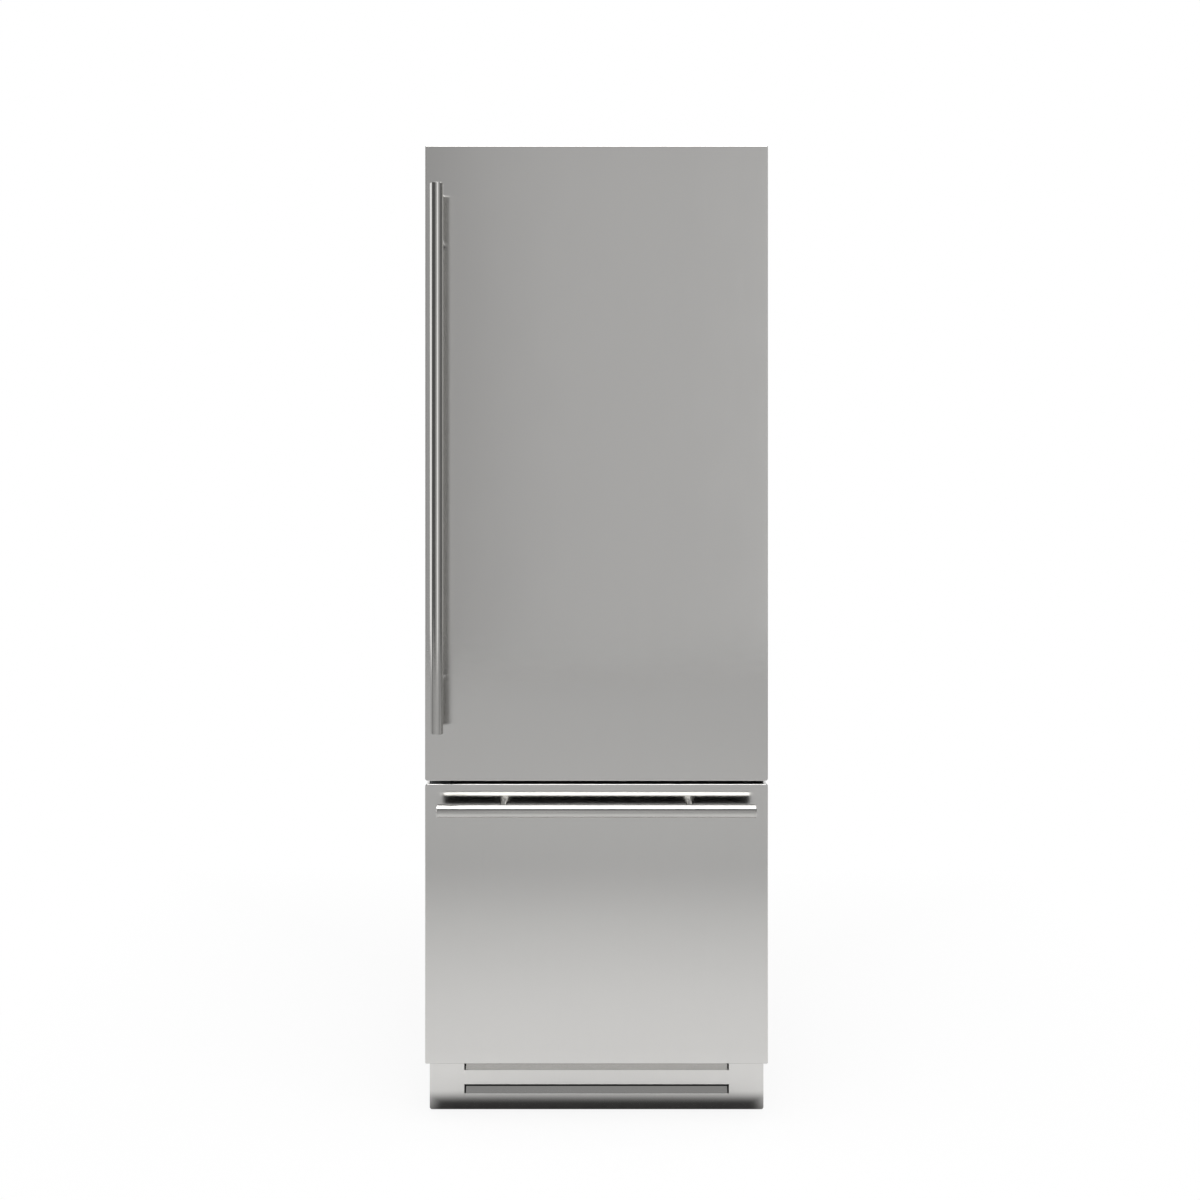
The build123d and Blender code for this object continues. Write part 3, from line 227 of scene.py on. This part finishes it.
# what the camera sees: white paper with a faint shadow, and the painted shadow under the cabinet
plain = addNode(tree, "ShaderNodeBsdfDiffuse", {"Color": linear("#f4f4f4")})
bright = addNode(tree, "ShaderNodeEmission", {"Color": (1, 1, 1, 1), "Strength": 1.0})
fade = addNode(tree, "ShaderNodeMapRange",
               {"Value": outside.outputs[0], "From Min": 0.0, "From Max": studio["shadowEnd"],
                "To Min": studio["floorShadow"], "To Max": 0.0})
mostly = addNode(tree, "ShaderNodeMixShader",
                 {0: fade.outputs["Result"], 1: bright.outputs[0], 2: plain.outputs[0]})
beneath = outsideOf(tree, place, caseLow, caseHigh)
openFloor = addNode(tree, "ShaderNodeMapRange",
                    {"Value": beneath.outputs[0],
                     "From Min": studio["darkFrom"], "From Max": studio["darkTo"]})
shown = addNode(tree, "ShaderNodeMixShader",
                {0: openFloor.outputs["Result"], 1: paper.outputs[0], 2: mostly.outputs[0]})
both = addNode(tree, "ShaderNodeMixShader",
               {0: seenDirectly(tree).outputs[0], 1: paper.outputs[0], 2: shown.outputs[0]})
addNode(tree, "ShaderNodeOutputMaterial", {"Surface": both.outputs[0]})
bm = bmesh.new()
bmesh.ops.create_grid(bm, x_segments=1, y_segments=1, size=studio["floorSize"] / 2)
mesh = bpy.data.meshes.new("floor")
bm.to_mesh(mesh)
bm.free()
mesh.materials.append(floorMaterial)
floor = bpy.data.objects.new("floor", mesh)
floor.location.z = -studio["floorDrop"] * mm
bpy.context.scene.collection.objects.link(floor)
print("studio and camera set")


def brushedStainless(name, grainMm):
    # stainless sheet, belt brushed one way: hair lines, and a sheen drawn out across them
    finish = {"dark": "#cbcac8", "light": "#d0cfcd", "roughness": (0.14, 0.165), "anisotropy": 0.85,
              "bump": 0.25, "bumpMm": 0.001, "smearMm": (90.0, 90.0, 160.0), "sheenSpan": (0.6, 1.4)}
    material, tree, shader, place = newMaterial(name)
    # real hair lines are 0.1 mm wide, drawn wider here so that they show
    lines = addNode(tree, "ShaderNodeMapping", {"Vector": place, "Scale": perMetre(*grainMm)})
    hair = addNode(tree, "ShaderNodeTexNoise",
                   {"Vector": lines.outputs[0], "Scale": 1.0, "Detail": 3.0, "Roughness": 0.6})
    colour = addNode(tree, "ShaderNodeMix",
                     {0: hair.outputs["Fac"], 6: linear(finish["dark"]), 7: linear(finish["light"])},
                     data_type="RGBA")
    # faint smears, as a wiping cloth leaves them
    wiped = addNode(tree, "ShaderNodeMapping", {"Vector": place, "Scale": perMetre(*finish["smearMm"])})
    smear = addNode(tree, "ShaderNodeTexNoise", {"Vector": wiped.outputs[0], "Scale": 1.0, "Detail": 2.0})
    mixed = addNode(tree, "ShaderNodeMath",
                    {0: hair.outputs["Fac"], 1: smear.outputs["Fac"]}, operation="ADD")
    sheen = addNode(tree, "ShaderNodeMapRange",
                    {"Value": mixed.outputs[0],
                     "From Min": finish["sheenSpan"][0], "From Max": finish["sheenSpan"][1],
                     "To Min": finish["roughness"][0], "To Max": finish["roughness"][1]})
    bump = addNode(tree, "ShaderNodeBump",
                   {"Height": hair.outputs["Fac"], "Strength": finish["bump"],
                    "Distance": finish["bumpMm"] * mm})
    across = addNode(tree, "ShaderNodeTangent", direction_type="RADIAL", axis="Z")
    for socket, value in (("Base Color", colour.outputs[2]), ("Roughness", sheen.outputs[0]),
                          ("Normal", bump.outputs[0]), ("Tangent", across.outputs[0])):
        tree.links.new(value, shader.inputs[socket])
    shader.inputs["Metallic"].default_value = 1.0
    shader.inputs["Anisotropic"].default_value = finish["anisotropy"]
    return material


def satinSteelBar(name, grainMm, axis=None):
    # stainless tube, polished on a wheel: nearly a mirror, with faint lines along its length;
    # behind the axis and up to just above it, towards the drawer, it is painted near black: painted shade,
    # which the drawer's face shows as a dark reflection
    finish = {"dark": "#b8b7b5", "light": "#c2c1be", "paintedShade": "#232322", "roughness": (0.1, 0.15),
              "behindMm": (1.0, 4.0), "upToMm": (7.5, 6.0)}
    material, tree, shader, place = newMaterial(name)
    lines = addNode(tree, "ShaderNodeMapping", {"Vector": place, "Scale": perMetre(*grainMm)})
    hair = addNode(tree, "ShaderNodeTexNoise",
                   {"Vector": lines.outputs[0], "Scale": 1.0, "Detail": 2.0, "Roughness": 0.5})
    colour = addNode(tree, "ShaderNodeMix",
                     {0: hair.outputs["Fac"], 6: linear(finish["dark"]), 7: linear(finish["light"])},
                     data_type="RGBA")
    sheen = addNode(tree, "ShaderNodeMapRange",
                    {"Value": hair.outputs["Fac"], "From Min": noiseSpan[0], "From Max": noiseSpan[1],
                     "To Min": finish["roughness"][0], "To Max": finish["roughness"][1]})
    # painted shade: the tube's back, towards the drawer, is mixed to near black by its place
    if axis is not None:
        spot = addNode(tree, "ShaderNodeSeparateXYZ", {0: place})
        behind, below = [
            addNode(tree, "ShaderNodeMapRange",
                    {"Value": spot.outputs[way],
                     "From Min": start + span[0] * mm, "From Max": start + span[1] * mm})
            for way, start, span in (("Y", axis.y, finish["behindMm"]), ("Z", axis.z, finish["upToMm"]))]
        paintedShadeMask = addNode(tree, "ShaderNodeMath",
                             {0: behind.outputs["Result"], 1: below.outputs["Result"]}, operation="MULTIPLY")
        colour = addNode(tree, "ShaderNodeMix",
                         {0: paintedShadeMask.outputs[0], 6: colour.outputs[2], 7: linear(finish["paintedShade"])},
                         data_type="RGBA")
    tree.links.new(colour.outputs[2], shader.inputs["Base Color"])
    tree.links.new(sheen.outputs[0], shader.inputs["Roughness"])
    shader.inputs["Metallic"].default_value = 1.0
    return material


def speckledSheet(name, finish):
    # a plain surface whose tone, gloss and relief vary with one grain: paint, plastic, rubber, foam, metal
    relief = 0.4  # strength of the grain's bump
    material, tree, shader, place = newMaterial(name)
    scale = addNode(tree, "ShaderNodeMapping", {"Vector": place, "Scale": perMetre(*[finish["grainMm"]] * 3)})
    grain = addNode(tree, "ShaderNodeTexNoise",
                    {"Vector": scale.outputs[0], "Scale": 1.0, "Detail": 2.0, "Roughness": 0.5})
    colour = addNode(tree, "ShaderNodeMix",
                     {0: grain.outputs["Fac"], 6: linear(finish["dark"]), 7: linear(finish["light"])},
                     data_type="RGBA")
    sheen = addNode(tree, "ShaderNodeMapRange",
                    {"Value": grain.outputs["Fac"], "From Min": noiseSpan[0], "From Max": noiseSpan[1],
                     "To Min": finish["roughness"][0], "To Max": finish["roughness"][1]})
    bump = addNode(tree, "ShaderNodeBump",
                   {"Height": grain.outputs["Fac"], "Strength": relief, "Distance": finish["bumpMm"] * mm})
    tree.links.new(colour.outputs[2], shader.inputs["Base Color"])
    tree.links.new(sheen.outputs[0], shader.inputs["Roughness"])
    tree.links.new(bump.outputs[0], shader.inputs["Normal"])
    shader.inputs["Metallic"].default_value = finish.get("metallic", 0.0)
    shader.inputs["IOR"].default_value = finish.get("ior", 1.5)
    return material


def galvanisedSteel():
    # hot-dip galvanised sheet: zinc spangle, each flake with its own grey and gloss
    finish = {"dark": "#a4a7aa", "light": "#c9ccce", "flakeMm": 9.0, "roughness": (0.3, 0.48)}
    material, tree, shader, place = newMaterial("galvanised_steel")
    scale = addNode(tree, "ShaderNodeMapping", {"Vector": place, "Scale": perMetre(*[finish["flakeMm"]] * 3)})
    flake = addNode(tree, "ShaderNodeTexVoronoi", {"Vector": scale.outputs[0], "Scale": 1.0})
    tone = addNode(tree, "ShaderNodeSeparateColor", {0: flake.outputs["Color"]})
    colour = addNode(tree, "ShaderNodeMix",
                     {0: tone.outputs[0], 6: linear(finish["dark"]), 7: linear(finish["light"])},
                     data_type="RGBA")
    sheen = addNode(tree, "ShaderNodeMapRange",
                    {"Value": tone.outputs[1],
                     "To Min": finish["roughness"][0], "To Max": finish["roughness"][1]})
    tree.links.new(colour.outputs[2], shader.inputs["Base Color"])
    tree.links.new(sheen.outputs[0], shader.inputs["Roughness"])
    shader.inputs["Metallic"].default_value = 1.0
    return material


def clearSheet(name, finish):
    # glass or crystal plastic: clear, with a faint tint and a little haze from the mould
    hazeSpan = (0.3, 0.7)
    material, tree, shader, place = newMaterial(name)
    scale = addNode(tree, "ShaderNodeMapping", {"Vector": place, "Scale": perMetre(*[finish["hazeMm"]] * 3)})
    haze = addNode(tree, "ShaderNodeTexNoise", {"Vector": scale.outputs[0], "Scale": 1.0, "Detail": 2.0})
    sheen = addNode(tree, "ShaderNodeMapRange",
                    {"Value": haze.outputs["Fac"], "From Min": hazeSpan[0], "From Max": hazeSpan[1],
                     "To Min": finish["roughness"][0], "To Max": finish["roughness"][1]})
    tree.links.new(sheen.outputs[0], shader.inputs["Roughness"])
    shader.inputs["Base Color"].default_value = linear(finish["tint"])
    shader.inputs["Transmission Weight"].default_value = 1.0
    shader.inputs["IOR"].default_value = finish["ior"]
    return material


finishes = {
    "brushed_stainless": brushedStainless("brushed_stainless_steel", (1.4, 1.4, 240.0)),
    "polished_stainless": satinSteelBar("satin_stainless_tube", (3.0, 3.0, 90.0)),
    "grey_paint": speckledSheet("grey_powder_coat", {
        "dark": "#8b8e90", "light": "#96999b", "grainMm": 2.4, "roughness": (0.42, 0.55), "bumpMm": 0.15}),
    "galvanised_steel": galvanisedSteel(),
    "black_paint": speckledSheet("black_enamel", {
        "dark": "#0b0b0c", "light": "#141415", "grainMm": 2.0, "roughness": (0.32, 0.45), "bumpMm": 0.08}),
    "zinc": speckledSheet("bright_zinc_plate", {
        "dark": "#aeb2b8", "light": "#c6c9cc", "grainMm": 5.0, "roughness": (0.25, 0.4), "bumpMm": 0.02,
        "metallic": 1.0}),
    "white_liner": speckledSheet("white_polystyrene", {
        "dark": "#e6e8e8", "light": "#edefef", "grainMm": 1.6, "roughness": (0.26, 0.36), "bumpMm": 0.04,
        "ior": 1.59}),
    "grey_plastic": speckledSheet("grey_abs", {
        "dark": "#7d8083", "light": "#85888b", "grainMm": 0.9, "roughness": (0.4, 0.52), "bumpMm": 0.03,
        "ior": 1.54}),
    "foam": speckledSheet("polyurethane_foam", {
        "dark": "#d6c592", "light": "#e7dab0", "grainMm": 1.5, "roughness": (0.85, 0.95), "bumpMm": 0.4}),
    "seal_rubber": speckledSheet("black_vinyl_seal", {
        "dark": "#1a1b1c", "light": "#242526", "grainMm": 1.2, "roughness": (0.5, 0.64), "bumpMm": 0.03,
        "ior": 1.53}),
    "shelf_glass": clearSheet("toughened_glass", {
        "tint": "#eaf6f1", "ior": 1.52, "hazeMm": 30.0, "roughness": (0.0, 0.02)}),
    "aluminium": speckledSheet("anodised_aluminium", {
        "dark": "#c3c5c7", "light": "#cdcfd1", "grainMm": 1.0, "roughness": (0.28, 0.38), "bumpMm": 0.01,
        "metallic": 1.0}),
    "clear_plastic": clearSheet("clear_polystyrene", {
        "tint": "#f8fbfc", "ior": 1.4, "hazeMm": 18.0, "roughness": (0.02, 0.07)}),
    "lamp_plastic": speckledSheet("opal_acrylic", {
        "dark": "#f0f0ea", "light": "#f6f6f0", "grainMm": 6.0, "roughness": (0.3, 0.36), "bumpMm": 0.02}),
    "black_plastic": speckledSheet("black_polypropylene", {
        "dark": "#18191a", "light": "#202122", "grainMm": 1.1, "roughness": (0.48, 0.6), "bumpMm": 0.05}),
    "copper": speckledSheet("drawn_copper", {
        "dark": "#a8613f", "light": "#c98a63", "grainMm": 14.0, "roughness": (0.22, 0.42), "bumpMm": 0.02,
        "metallic": 1.0}),
}
# the drawer's bar carries painted shade on its back
barLow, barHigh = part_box("drawer_handle_bar")
levelBar = satinSteelBar("satin_stainless_tube_level_painted_shade", (90.0, 3.0, 3.0), (barLow + barHigh) / 2)
for part in frame["record"]["subparts"]:
    piece = nodes[part["node"]]
    finish = finishes[part["material_slot"]]
    if part["node"] == "drawer_handle_bar":
        finish = levelBar
    piece.data.materials.clear()
    piece.data.materials.append(finish)
print("finishes set:", len(finishes))


creaseAngle = 35  # degrees, past which an edge stays sharp


def newPiece(name, bm, finish, body):
    mesh = bpy.data.meshes.new(name)
    bm.to_mesh(mesh)
    bm.free()
    mesh.materials.append(finish)
    mesh.shade_smooth()
    mesh.set_sharp_from_angle(angle=math.radians(creaseAngle))
    piece = bpy.data.objects.new(name, mesh)
    bpy.context.scene.collection.objects.link(piece)
    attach(piece, body)
    return piece


def facesOf(verts):
    return {face for vert in verts for face in vert.link_faces}


def rearmost(faces):
    return max(faces, key=lambda face: face.calc_center_median().y)


toBack = Matrix.Rotation(math.radians(-90), 4, "X")  # turns +Z to +Y, out of the cabinet's back
toFront = Matrix.Rotation(math.radians(90), 4, "X")  # turns +Z to -Y, towards the user
toBackUpright = Matrix.Rotation(math.radians(180), 4, "Z") @ toFront

# sheet-metal screws along the rear: hex head on a washer
rearScrew = {
    "washer": 5.6, "washerSlope": 0.6, "washerThick": 1.2, "head": 4.2, "headTall": 3.4, "edge": 0.45,
    "dish": 1.1, "dishDeep": 0.5,
    # down both sides, along the top and at the machine cover
    "sideX": (-361, 361), "sideZ": (58, 286, 340, 640, 940, 1240, 1540, 1840, 2085),
    "topX": (-270, -130, 130, 270), "topZ": (2105,),
    "coverX": (-120, 150), "coverZ": (54, 289),
}
bm = bmesh.new()
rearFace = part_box("back_panel")[1].y / mm
rearPlaces = [(x, z) for row in ("side", "top", "cover")
              for x in rearScrew[row + "X"] for z in rearScrew[row + "Z"]]
for x, z in rearPlaces:
    seat = Matrix.Translation(Vector((x, rearFace, z)) * mm) @ toBack
    low = Matrix.Translation((0, 0, rearScrew["washerThick"] / 2 * mm))
    high = Matrix.Translation((0, 0, (rearScrew["washerThick"] + rearScrew["headTall"] / 2) * mm))
    bmesh.ops.create_cone(bm, cap_ends=True, segments=20, radius1=rearScrew["washer"] * mm,
                          radius2=(rearScrew["washer"] - rearScrew["washerSlope"]) * mm,
                          depth=rearScrew["washerThick"] * mm, matrix=seat @ low)
    head = bmesh.ops.create_cone(bm, cap_ends=True, segments=6, radius1=rearScrew["head"] * mm,
                                 radius2=rearScrew["head"] * mm, depth=rearScrew["headTall"] * mm,
                                 matrix=seat @ high)["verts"]
    top = rearmost(facesOf(head))
    bmesh.ops.bevel(bm, geom=list(top.edges), offset=rearScrew["edge"] * mm, segments=2, profile=0.5,
                    affect="EDGES", material=-1)
    bm.faces.ensure_lookup_table()
    top = rearmost(bm.faces[-14:])  # the bevelled head's top is among the last faces
    bmesh.ops.inset_region(bm, faces=[top], thickness=rearScrew["dish"] * mm,
                           depth=-rearScrew["dishDeep"] * mm)
newPiece("rear_screws", bm, finishes["zinc"], "cabinet")

# plugs in the holes that the foam was poured through
foamPlug = {"radius": 17.0, "thick": 2.4, "rim": 4.0, "step": 0.8, "sink": 1.2,
            "places": [(-230, 1960), (230, 1960), (0, 520)]}
bm = bmesh.new()
for x, z in foamPlug["places"]:
    seat = Matrix.Translation(Vector((x, rearFace + foamPlug["thick"] / 2, z)) * mm) @ toBack
    disc = bmesh.ops.create_cone(bm, cap_ends=True, segments=40, radius1=foamPlug["radius"] * mm,
                                 radius2=foamPlug["radius"] * mm, depth=foamPlug["thick"] * mm,
                                 matrix=seat)["verts"]
    top = rearmost(facesOf(disc))
    bmesh.ops.inset_region(bm, faces=[top], thickness=foamPlug["rim"] * mm, depth=0)
    bmesh.ops.inset_region(bm, faces=[top], thickness=foamPlug["step"] * mm, depth=-foamPlug["sink"] * mm)
newPiece("foam_plugs", bm, finishes["black_plastic"], "cabinet")

# beads pressed into the back panel to stiffen it
rearBead = {
    "width": 44.0, "low": 620.0, "high": 1860.0, "slope": 9.0, "height": 3.0, "x": (-190, 0, 190),
    # radius of the round ends as a share of the width, and how far the sheet lies off the panel
    "roundShare": 0.49, "standOff": 0.02,
    # the slope's rise in steps, each with its share of the slope and of the height
    "climbs": [(0.25, 0.14), (0.25, 0.36), (0.25, 0.36), (0.25, 0.14)],
    # a face whose middle is this near to a bead's middle line belongs to it
    "near": 10.0,
}
bm = bmesh.new()
for x in rearBead["x"]:
    outline = bmesh.ops.create_grid(bm, x_segments=1, y_segments=1, size=0.5)["verts"]
    size = Matrix.Diagonal((rearBead["width"] * mm, (rearBead["high"] - rearBead["low"]) * mm, 1, 1))
    middleZ = (rearBead["low"] + rearBead["high"]) / 2
    seat = Matrix.Translation(Vector((x, rearFace + rearBead["standOff"], middleZ)) * mm)
    bmesh.ops.transform(bm, matrix=seat @ toBackUpright @ size, verts=outline)
    bmesh.ops.bevel(bm, geom=outline, offset=rearBead["width"] * rearBead["roundShare"] * mm, segments=8,
                    profile=0.5, affect="VERTICES", material=-1)
    own = [face for face in bm.faces
           if abs(face.calc_center_median().x - x * mm) < rearBead["near"] * mm]
    bead = max(own, key=lambda face: len(face.verts))
    for share, climb in rearBead["climbs"]:
        bmesh.ops.inset_region(bm, faces=[bead], thickness=rearBead["slope"] * share * mm,
                               depth=rearBead["height"] * climb * mm,
                               use_boundary=True, use_even_offset=True)
newPiece("rear_beads", bm, finishes["galvanised_steel"], "cabinet")
print("rear fittings made")

# magnetic seals, welded at mitred corners: a foot, a fold on each side, and the flat magnet pocket
seal = {
    # each step in from the edge: how far in, and how far out towards the cabinet
    "profile": [(0.3, 2.2), (1.3, 0.5), (1.9, -0.9), (0.5, -0.6), (0.5, 2.0), (0.4, 2.4), (0.5, 2.9),
                (1.1, 1.1), (4.6, 0.0), (0.8, -0.7), (0.8, 0.7), (4.6, 0.0), (1.1, -1.1), (0.5, -2.9),
                (0.4, -2.4), (0.5, -2.0), (0.5, 0.6), (1.9, 0.9), (1.3, -0.5), (0.3, -2.2)],
}
for node, body in (("door_gasket", "fridge_door"), ("drawer_gasket", "freezer_drawer")):
    low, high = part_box(node)
    bm = bmesh.new()
    outline = bmesh.ops.create_grid(bm, x_segments=1, y_segments=1, size=0.5)["verts"]
    size = Matrix.Diagonal((high.x - low.x, high.z - low.z, 1, 1))
    seat = Matrix.Translation((0, low.y, (low.z + high.z) / 2))
    bmesh.ops.transform(bm, matrix=seat @ toBackUpright @ size, verts=outline)
    bm.faces.ensure_lookup_table()
    middle = bm.faces[0]
    for inward, outward in seal["profile"]:
        bmesh.ops.inset_region(bm, faces=[middle], thickness=inward * mm, depth=outward * mm,
                               use_boundary=True, use_even_offset=True)
    bmesh.ops.delete(bm, geom=[middle], context="FACES")
    ring = newPiece(node + "_fold", bm, finishes["seal_rubber"], body)
    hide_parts(node)
print("seals made")


def addPlate(bm, low, high, edge):
    # a plate with its edges broken, between two corners in millimetres
    size = Vector(high) - Vector(low)
    seat = Matrix.Translation((Vector(low) + Vector(high)) / 2 * mm) @ Matrix.Diagonal((*(size * mm), 1))
    made = bmesh.ops.create_cube(bm, size=1.0, matrix=seat)["verts"]
    edges = list({side for vert in made for side in vert.link_edges})
    bmesh.ops.bevel(bm, geom=edges, offset=edge * mm, segments=2, profile=0.5, affect="EDGES", material=-1)


# control panel: a dark window in its recess, five lamps set in its face and a mark on each button
panel = {"margin": 0.5, "low": 7.0, "high": 25.0, "reach": 52.0, "recess": 1.0, "window": 0.6, "edge": 0.2}
panelLamp = {"steps": range(-2, 3), "spacing": 17.0, "radius": 1.5, "flatten": 0.25}
buttonMark = {"reach": 3.0, "width": 1.1, "rise": 0.3, "edge": 0.1,
              "ringFrom": -60, "ringTurn": 300, "ringSteps": 30}
housing = [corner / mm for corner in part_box("control_housing")]
recessFace = housing[0].y + panel["recess"]
windowFace = recessFace - panel["window"]
panelLow = housing[0].z + panel["low"] + panel["margin"]
panelHigh = housing[0].z + panel["high"] - panel["margin"]
panelReach = panel["reach"] - panel["margin"]
smokedAcrylic = speckledSheet("smoked_acrylic", {
    "dark": "#08090b", "light": "#0d0e10", "grainMm": 14.0, "roughness": (0.04, 0.09), "bumpMm": 0.005,
    "ior": 1.49})
bm = bmesh.new()
addPlate(bm, (-panelReach, windowFace, panelLow), (panelReach, recessFace, panelHigh), panel["edge"])
newPiece("display_window", bm, smokedAcrylic, "cabinet")
bm = bmesh.new()
for step in panelLamp["steps"]:
    middle = Vector((step * panelLamp["spacing"], windowFace, (panelLow + panelHigh) / 2))
    flat = Matrix.Diagonal((1, panelLamp["flatten"], 1, 1))
    bmesh.ops.create_uvsphere(bm, u_segments=16, v_segments=10, radius=panelLamp["radius"] * mm,
                              matrix=Matrix.Translation(middle * mm) @ flat)
newPiece("display_lamps", bm, finishes["lamp_plastic"], "cabinet")
for node, body, strokes in (("button_power", "power_button", ("up",)),
                            ("button_down", "down_button", ("level",)),
                            ("button_up", "up_button", ("level", "up", "down"))):
    low, high = [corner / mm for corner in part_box(node)]
    centre = (low + high) / 2
    reach = buttonMark["reach"]
    half = buttonMark["width"] / 2
    front = low.y - buttonMark["rise"]
    bm = bmesh.new()
    spans = {"level": (-reach, reach, -half, half),
             "up": (-half, half, half, reach),
             "down": (-half, half, -reach, -half)}
    for stroke in strokes:
        x0, x1, z0, z1 = spans[stroke]
        addPlate(bm, (centre.x + x0, front, centre.z + z0), (centre.x + x1, low.y, centre.z + z1),
                 buttonMark["edge"])
    if node == "button_power":
        # the ring round the stroke, open at its top
        section = bmesh.ops.create_grid(bm, x_segments=1, y_segments=1, size=0.5)["verts"]
        size = Matrix.Diagonal((buttonMark["width"] * mm, buttonMark["rise"] * mm, 1, 1))
        seat = Matrix.Translation(Vector((centre.x, (front + low.y) / 2, centre.z)) * mm)
        out = Matrix.Translation((reach * mm, 0, 0))
        lean = Matrix.Rotation(math.radians(buttonMark["ringFrom"]), 4, "Y")
        bmesh.ops.transform(bm, matrix=seat @ lean @ out @ size, verts=section)
        faces = section[0].link_faces[:]
        bmesh.ops.spin(bm, geom=faces, cent=Vector(centre) * mm, axis=(0, 1, 0),
                       angle=math.radians(buttonMark["ringTurn"]), steps=buttonMark["ringSteps"],
                       use_duplicate=False)
        bmesh.ops.recalc_face_normals(bm, faces=bm.faces[:])
    newPiece(node + "_mark", bm, finishes["lamp_plastic"], body)
print("control panel made")
